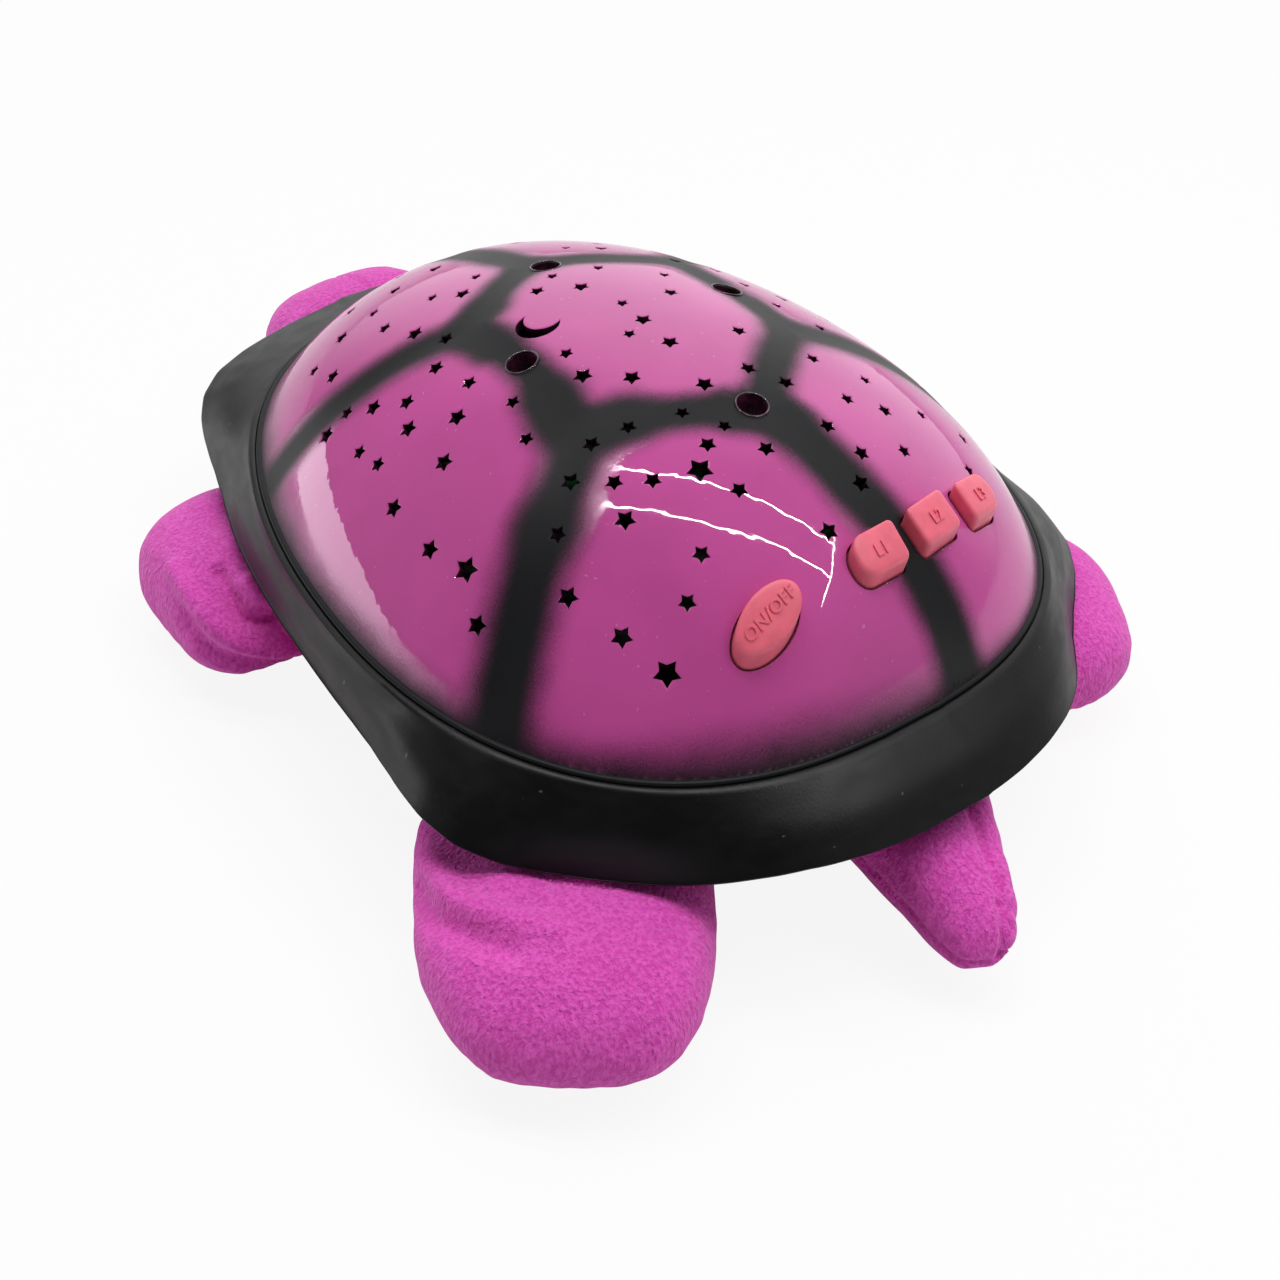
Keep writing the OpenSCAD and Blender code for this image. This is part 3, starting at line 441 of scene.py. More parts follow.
def loopOnShell(line, place):
    # a flat outline set tangent to the shell at place, as plan points, and the direction it is cut in
    n = shellNormal(np.array(place[0], float), np.array(place[1], float))
    turn = Vector((0, 0, 1)).rotation_difference(Vector(n)).to_matrix()
    flat = np.array([turn @ Vector((p[0], p[1], 0)) for p in line])
    return flat[:, :2] + np.array(place), n


def starOutline(size, grow=0.0):
    line = []
    for k in range(10):
        tip = k % 2 == 0
        r = size / 2 * (1 if tip else starWaist) + grow * (1.5 if tip else 1.1)
        a = math.radians(90 + 36 * k)
        line.append((r * math.cos(a), r * math.sin(a)))
    return line


def moonOutline(grow=0.0):
    r = moon["across"] / 2 + grow
    bite = moon["across"] * moon["biteAcross"] / 2 - grow
    shift = moon["across"] * moon["bite"]
    meet = math.acos((r * r + shift * shift - bite * bite) / (2 * r * shift))
    meetBite = math.atan2(r * math.sin(meet), r * math.cos(meet) - shift)
    line = [(r * math.cos(a), r * math.sin(a)) for a in np.linspace(meet, 2 * math.pi - meet, 22)]
    line += [(shift + bite * math.cos(a), bite * math.sin(a))
             for a in np.linspace(2 * math.pi - meetBite, meetBite, 18)[1:-1]]
    c, s = math.cos(math.radians(moon["turn"])), math.sin(math.radians(moon["turn"]))
    return [(c * x - s * y, s * x + c * y) for x, y in line]


def circleOutline(radius, count=28):
    return [(radius * math.cos(a), radius * math.sin(a)) for a in circlePoints(count)]


def insidePolygon(points, line):
    x, y = points[:, 0], points[:, 1]
    result = np.zeros(len(points), bool)
    for k in range(len(line)):
        (ax, ay), (bx, by) = line[k], line[k - 1]
        with np.errstate(divide="ignore", invalid="ignore"):
            cross = (bx - ax) * (y - ay) / (by - ay) + ax
        result ^= ((ay > y) != (by > y)) & (x < cross)
    return result


def makeHoles():
    # a hole has a kind, an inner and an outer loop in plan, and the way it is cut
    holes = []
    edge = shell["chamfer"]

    def addHole(kind, inner, outer, way):
        holes.append({"kind": kind, "inner": inner, "outer": outer, "way": way})

    for x, y, size in stars:
        inner, way = loopOnShell(starOutline(size), (x, y))
        outer, _ = loopOnShell(starOutline(size, edge), (x, y))
        addHole("star", inner, outer, way)
    inner, way = loopOnShell(moonOutline(), moon["place"])
    outer, _ = loopOnShell(moonOutline(edge), moon["place"])
    addHole("moon", inner, outer, way)
    straight = np.array([0, 0, 1.0])
    for place in wells["places"]:
        inner = np.array(circleOutline(wells["across"] / 2)) + place
        outer = np.array(circleOutline(wells["across"] / 2 + wells["rim"])) + place
        addHole("well", inner, outer, straight)
    press = fromBoard(0, 0, np.array(1.0))
    for index in (-1, 0, 1, 2):
        loops = []
        for grow in (keys["gap"], keys["gap"] + edge):
            line = keyOutline(index, grow)
            p = fromBoard(line[:, 0], line[:, 1], boardHeight(line[:, 0], line[:, 1], 0))
            loops.append(p[:, :2])
        addHole("window", *loops, press)
    return holes


def shellGrid():
    # plan points at an even spacing over the shell, row by row
    step, end = shell["meshStep"], shell["halfLength"] - 0.1
    ys = np.linspace(-end, end, 4000)
    arc = np.concatenate([[0], np.cumsum(np.hypot(np.diff(shellRadius(ys)), np.diff(ys)))])
    rowCount = int(arc[-1] / step)
    rows = np.interp((np.arange(rowCount) + 0.7) * arc[-1] / rowCount, arc, ys)
    grid = []
    for row, y in enumerate(rows):
        radius = float(shellRadius(y))
        sweep = math.asin(float(halfWidth(y)) / radius)
        count = max(4, int(2 * radius * sweep / step))
        shift = 0.5 if row % 2 else 0.0
        for k in range(1, count):
            a = sweep * (2 * (k + shift - 0.25) / count - 1)
            grid.append((radius * math.sin(a), y))
    return np.array(grid)


def clearOfHoles(grid, holes):
    # the grid points that stand clear of the foot and of every hole's edge
    near, _ = nearestSquare(onShell(grid), footPoints)
    keep = near > (0.75 * shell["meshStep"]) ** 2
    for hole in holes:
        room = shell["wellRoom"] if hole["kind"] == "well" else shell["holeRoom"]
        outer = hole["outer"]
        centre = outer.mean(0)
        reach = np.linalg.norm(outer - centre, axis=1).max() + room
        close = np.where(np.linalg.norm(grid - centre, axis=1) < reach)[0]
        if len(close) == 0:
            continue
        ring = evenly(outer, 0.25, closed=True)
        gap = np.linalg.norm(grid[close][:, None] - ring[None], axis=2).min(1)
        keep[close[insidePolygon(grid[close], outer) | (gap < room)]] = False
    return grid[keep]


def planMesh(holes):
    # triangles over the shell's plan, with every loop as edges; tags say which loop a point came from
    points, edges, owner = [], [], []

    def addLoop(line, tag):
        start = len(points)
        for k, p in enumerate(line):
            points.append(Vector((float(p[0]), float(p[1]))))
            edges.append((start + k, start + (k + 1) % len(line)))
            owner.append((tag, k))

    addLoop(footLine, ("foot", -1))
    for number, hole in enumerate(holes):
        addLoop(hole["inner"], ("inner", number))
        addLoop(hole["outer"], ("outer", number))
    for p in clearOfHoles(shellGrid(), holes):
        points.append(Vector((float(p[0]), float(p[1]))))
        owner.append((("free", -1), 0))
    verts, _, faces, origin, _, _ = delaunay_2d_cdt(points, edges, [], 0, 1e-5, True)
    plan = np.array([(v.x, v.y) for v in verts])
    tags = [owner[o[0]] if o else (("free", -1), 0) for o in origin]
    faces = np.array([f for f in faces if len(f) == 3])
    middle = plan[faces].mean(1)
    keepFace = insidePolygon(middle, footLine)
    for hole in holes:
        inner = hole["inner"]
        centre = inner.mean(0)
        reach = np.linalg.norm(inner - centre, axis=1).max()
        close = np.where(np.linalg.norm(middle - centre, axis=1) < reach)[0]
        keepFace[close[insidePolygon(middle[close], inner)]] = False
    faces = faces[keepFace]
    a, b, c = plan[faces[:, 0]], plan[faces[:, 1]], plan[faces[:, 2]]
    area = (b[:, 0] - a[:, 0]) * (c[:, 1] - a[:, 1]) - (c[:, 0] - a[:, 0]) * (b[:, 1] - a[:, 1])
    faces[area < 0] = faces[area < 0][:, ::-1]
    return plan, tags, faces


def lineGaps(points):
    # distance from the plates' lines, cover of the spray, way across the nearest line, distance from the foot
    best = np.full(len(points), 1e9)
    cover = np.zeros(len(points))
    across = np.zeros((len(points), 3))
    for half, soft, line in plateLines:
        line = onShell(evenly(curved(line), 1.5))
        gap = np.full(len(points), 1e9)
        way = np.zeros((len(points), 3))
        for a, b in zip(line[:-1], line[1:]):
            off = fromSegment(points, a, b)
            d = np.linalg.norm(off, axis=1)
            closer = d < gap
            gap = np.where(closer, d, gap)
            way[closer] = off[closer]
        cover = 1 - (1 - cover) * smoothstep(gap, half - soft, half + soft)
        nearer = gap < best
        best = np.where(nearer, gap, best)
        across[nearer] = way[nearer]
    footGap = np.sqrt(nearestSquare(points, footPoints)[0])
    # the spray at the foot is wider at the tail's left and along the left front
    wider = smoothstep(-points[:, 1], 70, 95) * np.clip(2.6 - 0.18 * points[:, 0], -4.5, 6.5)
    wider += 2.2 * smoothstep(points[:, 1], 5, 40) * smoothstep(-points[:, 0], 20, 50)
    cover = 1 - (1 - cover) * smoothstep(footGap, -0.5, shell["footSpray"] + wider)
    across /= np.maximum(np.linalg.norm(across, axis=1, keepdims=True), 1e-6)
    return best, cover, across, footGap


def shineAlong(mesh, kinds, shine, normal):
    # outside faces shine along the true form, inside ones against it, and walls stay flat
    corner = np.zeros(len(mesh.loops), np.int32)
    mesh.loops.foreach_get("vertex_index", corner)
    loopNormals = np.zeros((len(mesh.loops), 3))
    for poly, kind in zip(mesh.polygons, kinds):
        for at in range(poly.loop_start, poly.loop_start + poly.loop_total):
            if kind == "outside":
                loopNormals[at] = shine[corner[at]]
            elif kind == "inside":
                loopNormals[at] = -normal[corner[at] - len(normal)]
            else:
                loopNormals[at] = poly.normal
    mesh.normals_split_custom_set([tuple(n) for n in loopNormals])


def shellSkins(plan, tags, holes):
    # the outer and the inner skin over the plan, and where the points of each loop are
    skin = onShell(plan)
    normal = shellNormal(plan[:, 0], plan[:, 1])
    gap, cover, across, footGap = lineGaps(skin)
    share = np.clip(gap / shell["valleyHalf"], 0, 1)
    fade = np.clip(footGap / shell["valleyFade"], 0, 1)
    deep = shell["valleyDeep"] * (1 - share ** 2) ** 2 * fade
    slope = shell["valleyDeep"] * -4 * share * (1 - share ** 2) / shell["valleyHalf"] * fade
    outside = skin - normal * deep[:, None]
    shine = normal + across * slope[:, None]
    inside = skin - normal * shell["wall"]
    rings = {}
    for i, (loop, k) in enumerate(tags):
        kind, number = loop
        if kind == "free":
            continue
        rings.setdefault(loop, {})[k] = i
        if kind == "foot":
            inside[i] = [*(plan[i] - footOut[k] * shell["wall"]), 0]
            outside[i] = skin[i]
            continue
        hole = holes[number]
        centre = hole["inner"].mean(0)
        if kind == "inner":
            outside[i] -= hole["way"] * shell["chamfer"]
            toMiddle = np.append(centre - plan[i], 0)
            shine[i] = shine[i] + shell["edgeShine"] * toMiddle / np.linalg.norm(toMiddle)
        if hole["kind"] == "well":
            away = (plan[i] - centre) / np.linalg.norm(plan[i] - centre)
            inside[i][:2] = centre + away * wells["boss"][0 if kind == "inner" else 1]
            inside[i][2] = skin[i][2] - shell["wall"]
        else:
            inside[i] = skin[i] - hole["way"] * shell["wall"]
    shine /= np.linalg.norm(shine, axis=1, keepdims=True)
    return outside, inside, shine, normal, cover, rings


def inOrder(ring):
    return [ring[k] for k in range(len(ring))]


def isClockwise(line):
    x, y = (line - line.mean(0)).T
    return np.sum(x * np.roll(y, -1) - y * np.roll(x, -1)) < 0


def makeShell():
    holes = makeHoles()
    plan, tags, faces = planMesh(holes)
    count = len(plan)
    outside, inside, shine, normal, cover, rings = shellSkins(plan, tags, holes)
    points = list(outside) + list(inside)
    allFaces = [tuple(f) for f in faces] + [(f[2] + count, f[1] + count, f[0] + count) for f in faces]
    kinds = ["outside"] * len(faces) + ["inside"] * len(faces)

    def wall(ringA, ringB, kind):
        for k in range(len(ringA)):
            n = (k + 1) % len(ringA)
            allFaces.append((ringA[k], ringB[k], ringB[n], ringA[n]))
            kinds.append(kind)

    def lowered(ring, height):
        copies = []
        for i in ring:
            copies.append(len(points))
            points.append([points[i][0], points[i][1], height])
        return copies

    footRing = inOrder(rings["foot", -1])
    wall([i + count for i in footRing], footRing, "edge")
    for number, hole in enumerate(holes):
        ring = inOrder(rings["inner", number])
        if isClockwise(hole["inner"]):
            ring = ring[::-1]
        under = [i + count for i in ring]
        if hole["kind"] != "well":
            wall(under, ring, "edge")
            continue
        seat = float(shellZ(*hole["inner"].mean(0))) - wells["deep"]
        low = lowered(ring, seat - wells["seatGap"])
        wall(low, ring, "well")
        allFaces.append(tuple(low))
        kinds.append("well")
        boss = lowered(under, seat - wells["floor"])
        wall(under, boss, "edge")
        allFaces.append(tuple(boss[::-1]))
        kinds.append("edge")
    points = np.array(points, float)
    points[:, 2] += shell["base"]
    piece = newPiece("shellDome", points, allFaces)
    mesh = piece.data
    # the inside and the hole walls take the dark plum of painted shade, the wells the pink darkened with
    # painted shade
    for material in (shellPaint, paintedShadeInside, wellPinkPaintedShade):
        mesh.materials.append(material)
    slots = {"outside": 0, "inside": 1, "edge": 1, "well": 2}
    if len(mesh.polygons) != len(allFaces):
        print("shell faces dropped:", len(allFaces) - len(mesh.polygons))
    mesh.polygons.foreach_set("material_index", [slots[kind] for kind in kinds])
    spray = mesh.attributes.new("spray", "FLOAT", "POINT")
    values = np.ones(len(points), np.float32)
    values[:count] = cover
    spray.data.foreach_set("value", values)
    shineAlong(mesh, kinds, shine, normal)
    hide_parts("dome_shell")


def makeWellLips():
    # a fine raised lip round each screw well, in a pale tone that paints a highlight on it
    points, faces = [], []
    around, sides, thick = 40, 8, wells["lip"]
    for x, y in wells["places"]:
        start = len(points)
        for a in circlePoints(around):
            out = np.array([math.cos(a), math.sin(a)])
            for b in circlePoints(sides):
                place = np.array([x, y]) + out * (wells["across"] / 2 + thick * (1 + math.cos(b)))
                height = float(shellZ(*place)) - 0.1 + thick * math.sin(b)
                points.append([*place, height + shell["base"]])
        for k in range(around):
            here, there = start + k * sides, start + (k + 1) % around * sides
            for j in range(sides):
                n = (j + 1) % sides
                faces.append((here + j, there + j, there + n, here + n))
    piece = newPiece("wellLips", points, faces)
    piece.data.materials.append(wellLipPaintedHighlight)


makeShell()
makeWellLips()
print("stage: shell made")

# A bead round the shell's foot, then the rim: its reach and its drop at each turn, in degrees from the tail
rim = {
    "wall": 2, "crest": 1.6,
    "beadOut": 0.7, "beadHigh": 1.1,
    # room for the plush under it, where it is free past the edge, and how steeply it swells up there
    "plushGap": 0.3, "plushPast": 0.5, "plushSwell": 1.3,
    "tones": ((0.0030, 0.0031, 0.0037), (0.0042, 0.0044, 0.0052)), "rough": (0.37, 0.44),
    "bend": [(0, 0), (0.3, 0.2), (0.65, 0.52), (1, 1)],    # share of the reach, share of the drop
    "reach": [(-18, 15.6), (-8, 17.3), (0, 17.2), (8, 17.3), (18, 15.6), (27, 13), (36, 10.4), (42, 11.6),
              (48, 14.6), (54, 17.2), (60, 15.2), (66, 11), (72, 7.4), (80, 5.4), (90, 4.7), (100, 5.2),
              (110, 6.4), (120, 8.5), (127, 9.8), (133, 12.3), (139, 16.2), (145, 20.4), (150, 23.5),
              (155, 24.5), (160, 21.5), (165, 18.2), (172, 16.8), (180, 17), (190, 17.2)],
    "drop": [(-18, 11.5), (-8, 12), (0, 13), (8, 12), (15, 11.3), (22, 13.2), (30, 16), (36, 17.4),
             (42, 17), (48, 15.4), (54, 13.6), (60, 11.5), (66, 11.3), (72, 12.4), (80, 13.5),
             (120, 13.5), (146, 12), (157, 9), (165, 5.5), (180, 3.5), (190, 3.5)],
}


def makeRimPlastic():
    material = newMaterial("rimPlastic", Specular_IOR_Level=0.3)
    tone = blotches(material, (25, 4), (0.3, 0.7), *rim["tones"])
    dust = ramp(material, objectNoise(material, 620, 2, rough=0.3), 0.77, 0.83)
    tone = mixColour(material, calc(material, "MULTIPLY", dust, 0.3), tone, (0.30, 0.28, 0.27))
    join(material, tone, "Base Color")
    scuffs = ramp(material, objectNoise(material, 150, 6, (1, 1, 3)), 0.35, 0.7, *rim["rough"])
    join(material, scuffs, "Roughness")
    grain = bumps(material, objectNoise(material, 1600, 3), 0.00006, 0.5)
    join(material, bumps(material, objectNoise(material, 30, 2), 0.001, 0.05, grain), "Normal")
    return material


rimPlastic = makeRimPlastic()


def softTable(turn, table):
    at, values = zip(*table)
    return sum(w * np.interp(turn + d, at, values) for d, w in ((-5, 0.25), (0, 0.5), (5, 0.25)))


rimReach = np.array([softTable(turn, rim["reach"]) for turn in footTurn])
rimDrop = np.array([softTable(turn, rim["drop"]) for turn in footTurn])


def keepUnderRim(co):
    # plush that stands in the rim is pressed down to its underside, and swells up again past its edge
    _, index = nearestSquare(co[:, :2], footLine)
    out = ((co[:, :2] - footLine[index]) * footOut[index]).sum(1)
    reach, drop = rimReach[index], rimDrop[index]
    share = (out - rim["crest"]) / (reach - rim["crest"])
    ceiling = -drop * np.interp(share, *zip(*rim["bend"])) - rim["wall"] - rim["plushGap"]
    ceiling += np.maximum(out - reach - rim["plushPast"], 0) * rim["plushSwell"]
    co[:, 2] = np.minimum(co[:, 2], ceiling)
    return co


def sweepFoot(name, sections, material):
    # a closed strip round the foot: sections[i] are the (out, up) pairs at foot point i
    sections = np.asarray(sections, float)
    around, corners = sections.shape[:2]
    points = np.zeros((around, corners, 3))
    points[:, :, :2] = footLine[:, None] + sections[:, :, :1] * footOut[:, None]
    points[:, :, 2] = sections[:, :, 1] + shell["base"]
    faces = []
    for i in range(around):
        here, there = i * corners, (i + 1) % around * corners
        for k in range(corners):
            n = (k + 1) % corners
            faces.append((here + k, there + k, there + n, here + n))
    piece = newPiece(name, points.reshape(-1, 3), faces)
    piece.data.materials.append(material)
    piece.data.set_sharp_from_angle(angle=math.radians(50))
    return piece


def makeBead():
    out, high = rim["beadOut"], rim["beadHigh"]
    profile = [(-1.5, 0.05), (-1.5, high * 0.8), (-0.75, high * 0.98), (-0.25, high), (0.15, high * 0.97),
               (0.45, high * 0.84), (out - 0.05, high * 0.6), (out, high * 0.3), (out, 0.05)]
    piece = sweepFoot("shellBead", [profile] * len(footLine), shellPaint)
    spray = piece.data.attributes.new("spray", "FLOAT", "POINT")
    spray.data.foreach_set("value", np.ones(len(piece.data.vertices), np.float32))


def makeRim():
    wall, crest = rim["wall"], rim["crest"]
    top = [(-1, -0.3), (0.8, -0.3), (0.85, 0.2), (1.05, 0.38), (crest, 0.36), (2.5, 0.02)]
    sections = []
    for reach, drop in zip(rimReach, rimDrop):
        run = reach - crest
        bends = [(run * a, -drop * b) for a, b in rim["bend"][1:3]]
        slope = curved([top[-1]] + [(crest + out, up) for out, up in bends]
                       + [(reach - 0.5, -drop + 0.6), (reach, -drop)], 6)[1:]
        below = [(reach - 0.15, -drop - 0.5), (reach - 0.6, -drop - wall * 0.5)]
        below += [(1.2 + out, up - wall) for out, up in bends[::-1]] + [(0.8, -wall), (-1, -wall)]
        sections.append(top + [tuple(p) for p in slope] + below)
    piece = sweepFoot("rimSkirt", sections, rimPlastic)
    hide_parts("rim_skirt")


makeBead()
makeRim()
print("stage: rim made")


def makeKeyRubber():
    material = newMaterial("keyRubber", IOR=1.45, Subsurface_Weight=0.08, Subsurface_Scale=0.0012)
    tone = blotches(material, (260, 4), (0.3, 0.7), keys["coral"], darker(keys["coral"], 0.88))
    join(material, tone, "Base Color")
    join(material, ramp(material, objectNoise(material, 500, 3), 0.3, 0.7, *keys["rough"]), "Roughness")
    join(material, bumps(material, objectNoise(material, 2200, 3), 0.00005, 0.5), "Normal")
    return material


keyRubber = makeKeyRubber()


def makeKeyCap(name, index, node, body):
    edge, rise = keys["edge"], keys["rise"]
    under = -shell["wall"] - keys["flangeClear"]
    # how far each ring is grown, and its height over the shell
    loops = [(keys["flange"], under - keys["flangeWall"]), (keys["flange"], under),
             (0, under), (0, 0), (0, rise - edge)]
    for a in np.radians([20, 40, 60, 80]):
        loops.append((-edge * (1 - math.cos(a)), rise - edge * (1 - math.sin(a))))
    loops += [(-edge * 1.35, rise + 0.02), (-edge * 1.9, rise + 0.05)]
    lines = [(keyOutline(index, grow), height) for grow, height in loops]
    # the top narrows to its middle by rings
    last = lines[-1][0]
    centre = last.mean(0)
    top = rise + keys["crown"]
    lines += [(centre + (last - centre) * share, top) for share in (0.75, 0.5, 0.25)]
    points = []
    for line, height in lines:
        w = boardHeight(line[:, 0], line[:, 1], height)
        points += list(fromBoard(line[:, 0], line[:, 1], w))
    count = len(last)
    faces = tubeFaces(len(lines), count, upFirst=False)
    middle, base = len(points), len(points) - count
    points.append(fromBoard(centre[0], centre[1], boardHeight(centre[0], centre[1], top)))
    faces += [(base + k, base + (k + 1) % count, middle) for k in range(count)]
    faces.append(tuple(range(count))[::-1])
    points = np.array(points)
    points[:, 2] += shell["base"]
    cap = newPiece(name, points, faces, body)
    cap.data.materials.append(keyRubber)
    cap.data.set_sharp_from_angle(angle=math.radians(45))
    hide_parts(node)


def makeKeyLetters(name, index, body, label, place):
    font = bpy.data.curves.new(name + "Letters", "FONT")
    font.body = label
    font.size = keys["letterSize"]
    font.align_x, font.align_y = "CENTER", "CENTER"
    font.extrude = 1
    font.bevel_depth = keys["letterBevel"]
    font.resolution_u = 4
    font.space_character = keys["letterSpace"]
    raw = bpy.data.objects.new(name + "Raw", font)
    bpy.context.scene.collection.objects.link(raw)
    bpy.context.view_layer.update()
    mesh = bpy.data.meshes.new_from_object(raw.evaluated_get(bpy.context.evaluated_depsgraph_get()))
    bpy.data.objects.remove(raw)
    # flat letters are laid on the cap's curved top, with a round upper edge
    (atU, atV), slant = keySpot(index)
    c, s = math.cos(math.radians(slant)), math.sin(math.radians(slant))
    flat = np.array([v.co for v in mesh.vertices]) + [*place, 0]
    u = atU + c * flat[:, 0] - s * flat[:, 1]
    v = atV + s * flat[:, 0] + c * flat[:, 1]
    below = (font.extrude + keys["letterBevel"] - flat[:, 2]) / keys["letterBevel"]
    height = np.where(flat[:, 2] > 0, keys["letterRise"] - keys["letterRound"] * below, keys["letterFoot"])
    where = fromBoard(u, v, boardHeight(u, v, keys["rise"] + keys["crown"]) + height)
    where[:, 2] += shell["base"]
    mesh.vertices.foreach_set("co", (where * mm).ravel())
    mesh.update()
    letters = bpy.data.objects.new(name + "Letters", mesh)
    bpy.context.scene.collection.objects.link(letters)
    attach(letters, body)
    mesh.materials.clear()
    mesh.materials.append(keyRubber)


for index, (name, node, body, label, place) in enumerate(keys["pieces"], -1):
    makeKeyCap(name, index, node, body)
    makeKeyLetters(name, index, body, label, place)
print("stage: buttons made")

plush = {
    "deep": (0.70, 0.06, 0.45), "light": (0.86, 0.12, 0.6),
    "tuftScale": 460, "fibreScale": 1050, "fibreStretch": (1, 1, 0.55), "sheen": 0.4,
    "voxel": 4, "frames": 20, "pressure": 4,
    "cap": 5,              # no point of a skin moves further than this as it fills
    "heldFade": 9,         # a skin is held where it meets the belly, and is free this far out
}


def makePlush():
    # short brushed pile: small tufts that lie along the piece
    material = newMaterial("plushPile", Roughness=0.95, IOR=1.35, Sheen_Weight=plush["sheen"],
                           Sheen_Roughness=0.45, Sheen_Tint=(1.0, 0.62, 0.9, 1))
    place = addNode(material, "ShaderNodeTexCoord").outputs["Object"]
    tufts = addNode(material, "ShaderNodeTexNoise", in_Vector=place, in_Scale=plush["tuftScale"],
                    in_Detail=3, in_Roughness=0.6, in_Distortion=0.8).outputs["Fac"]
    fibres = objectNoise(material, plush["fibreScale"], 2, plush["fibreStretch"], 0.6)
    swirls = objectNoise(material, 38, 3)
    shade = calc(material, "MULTIPLY_ADD", tufts, 0.15, calc(material, "MULTIPLY", swirls, 0.15))
    shade = ramp(material, calc(material, "MULTIPLY_ADD", fibres, 0.7, shade), 0.38, 0.64)
    join(material, mixColour(material, shade, plush["deep"], plush["light"]), "Base Color")
    pile = bumps(material, tufts, 0.0009, 0.7)
    join(material, bumps(material, fibres, 0.0007, 1.0, pile), "Normal")
    return material


plushPile = makePlush()

belly = {
    # share of the foot's outline, and height under the shell's foot
    "levels": [(0.62, -50), (0.7, -48.5), (0.78, -44), (0.86, -36), (0.93, -26), (0.985, -15),
               (1.015, -7.2), (1.0, -5.2)],
    "well": (-31.5, 40.1, 20.1, 59.9),     # the battery well: x from, x to, y from, y to
    "wellTop": -22.3, "wellCorner": 7,
    "reach": 80,                           # mm in a share of one
    "seamZ": -43.5, "seamDeep": 1.1,
    "sink": 2.5,                           # how deep the limbs' roots reach into it
    "lumps": [(0.9, 20, 61), (0.3, 6, 63)],
}


def outlineShare(x, y):
    # scale of the foot's outline that passes through x, y
    def isTooSmall(s):
        return np.abs(x) > s * np.where(np.abs(y) < shell["halfLength"] * s, halfWidth(y / s), 0)

    return halve(np.shape(x), 0.01, 4.0, 30, isTooSmall)


def bellyShare(z):
    shares, heights = zip(*belly["levels"])
    return np.interp(z, heights, shares)


def keepOffBelly(co):
    # points that lie deep in the belly are moved out to just under its surface
    share = outlineShare(co[:, 0], co[:, 1])
    limit = bellyShare(co[:, 2]) - belly["sink"] / belly["reach"]
    deep = share < limit
    co[deep, :2] *= (limit[deep] / share[deep])[:, None]
    return co


def limbRings(stations, count=36, power=0.85):
    # rings of a stuffed limb: stations are (centre, way, half width, half thickness)
    turns = circlePoints(count)
    c, s = (np.sign(t) * np.abs(t) ** power for t in (np.cos(turns), np.sin(turns)))
    rings = []
    for centre, way, wide, thick in stations:
        _, side = heading(way)
        rings.append(np.array(centre) + c[:, None] * side * wide + s[:, None] * np.array([0, 0, thick]))
    return rings


def ringsToMesh(rings):
    count = len(rings[0])
    points = np.vstack(rings + [rings[0].mean(0)[None], rings[-1].mean(0)[None]])
    faces = tubeFaces(len(rings), count)
    first, last = len(points) - 2, len(points) - 1
    top = (len(rings) - 1) * count
    for k in range(count):
        n = (k + 1) % count
        faces.append((first, k, n))
        faces.append((last, top + n, top + k))
    return points, faces


def coordinates(piece):
    co = np.zeros(len(piece.data.vertices) * 3, np.float32)
    piece.data.vertices.foreach_get("co", co)
    return co.reshape(-1, 3).astype(float) / mm


def setCoordinates(piece, co):
    piece.data.vertices.foreach_set("co", (co * mm).astype(np.float32).ravel())
    piece.data.update()


def applyModifier(piece, modifier):
    bpy.context.view_layer.update()
    mesh = bpy.data.meshes.new_from_object(piece.evaluated_get(bpy.context.evaluated_depsgraph_get()))
    piece.modifiers.remove(modifier)
    old = piece.data
    piece.data = mesh
    bpy.data.meshes.remove(old)


def remesh(piece, voxel):
    modifier = piece.modifiers.new("even", "REMESH")
    modifier.mode = "VOXEL"
    modifier.voxel_size = voxel * mm
    modifier.use_smooth_shade = True
    applyModifier(piece, modifier)


def stuff(piece, held, pressure, cap):
    # blows the skin up like a filled pad; held is the share by which each point is sewn fast
    start = coordinates(piece)
    group = piece.vertex_groups.new(name="sewn")
    for index, weight in enumerate(held):
        group.add([index], float(weight), "REPLACE")
    modifier = piece.modifiers.new("filling", "CLOTH")
    cloth = modifier.settings
    cloth.quality = 6
    cloth.mass = 0.25
    cloth.tension_stiffness = cloth.compression_stiffness = 12
    cloth.shear_stiffness = 4
    cloth.bending_stiffness = 0.3
    cloth.use_pressure = True
    cloth.uniform_pressure_force = pressure
    cloth.effector_weights.gravity = 0
    cloth.vertex_group_mass = "sewn"
    modifier.collision_settings.use_collision = False
    for step in range(1, plush["frames"] + 1):
        bpy.context.scene.frame_set(step)
    shaped = piece.evaluated_get(bpy.context.evaluated_depsgraph_get())
    end = np.array([v.co for v in shaped.data.vertices]) / mm
    piece.modifiers.remove(modifier)
    piece.vertex_groups.clear()
    bpy.context.scene.frame_set(1)
    move = end - start
    far = np.linalg.norm(move, axis=1, keepdims=True)
    setCoordinates(piece, start + move * np.minimum(1, cap / np.maximum(far, 1e-6)))


def subdivide(piece, levels):
    modifier = piece.modifiers.new("finer", "SUBSURF")
    modifier.levels = modifier.render_levels = levels
    applyModifier(piece, modifier)


def vertexNormals(piece):
    normals = np.zeros(len(piece.data.vertices) * 3, np.float32)
    piece.data.vertices.foreach_get("normal", normals)
    return normals.reshape(-1, 3).astype(float)


def softNoise(co, size, seed):
    shift = Vector((seed, 2.3 * seed, -seed))
    return np.array([noise.noise(Vector((p / size).tolist()) + shift) for p in co])


def uneven(co, layers, seed=0):
    # lumps of the stuffing: layers are (height, size, shift of the seed)
    return sum(height * softNoise(co, size, seed + shift) for height, size, shift in layers)


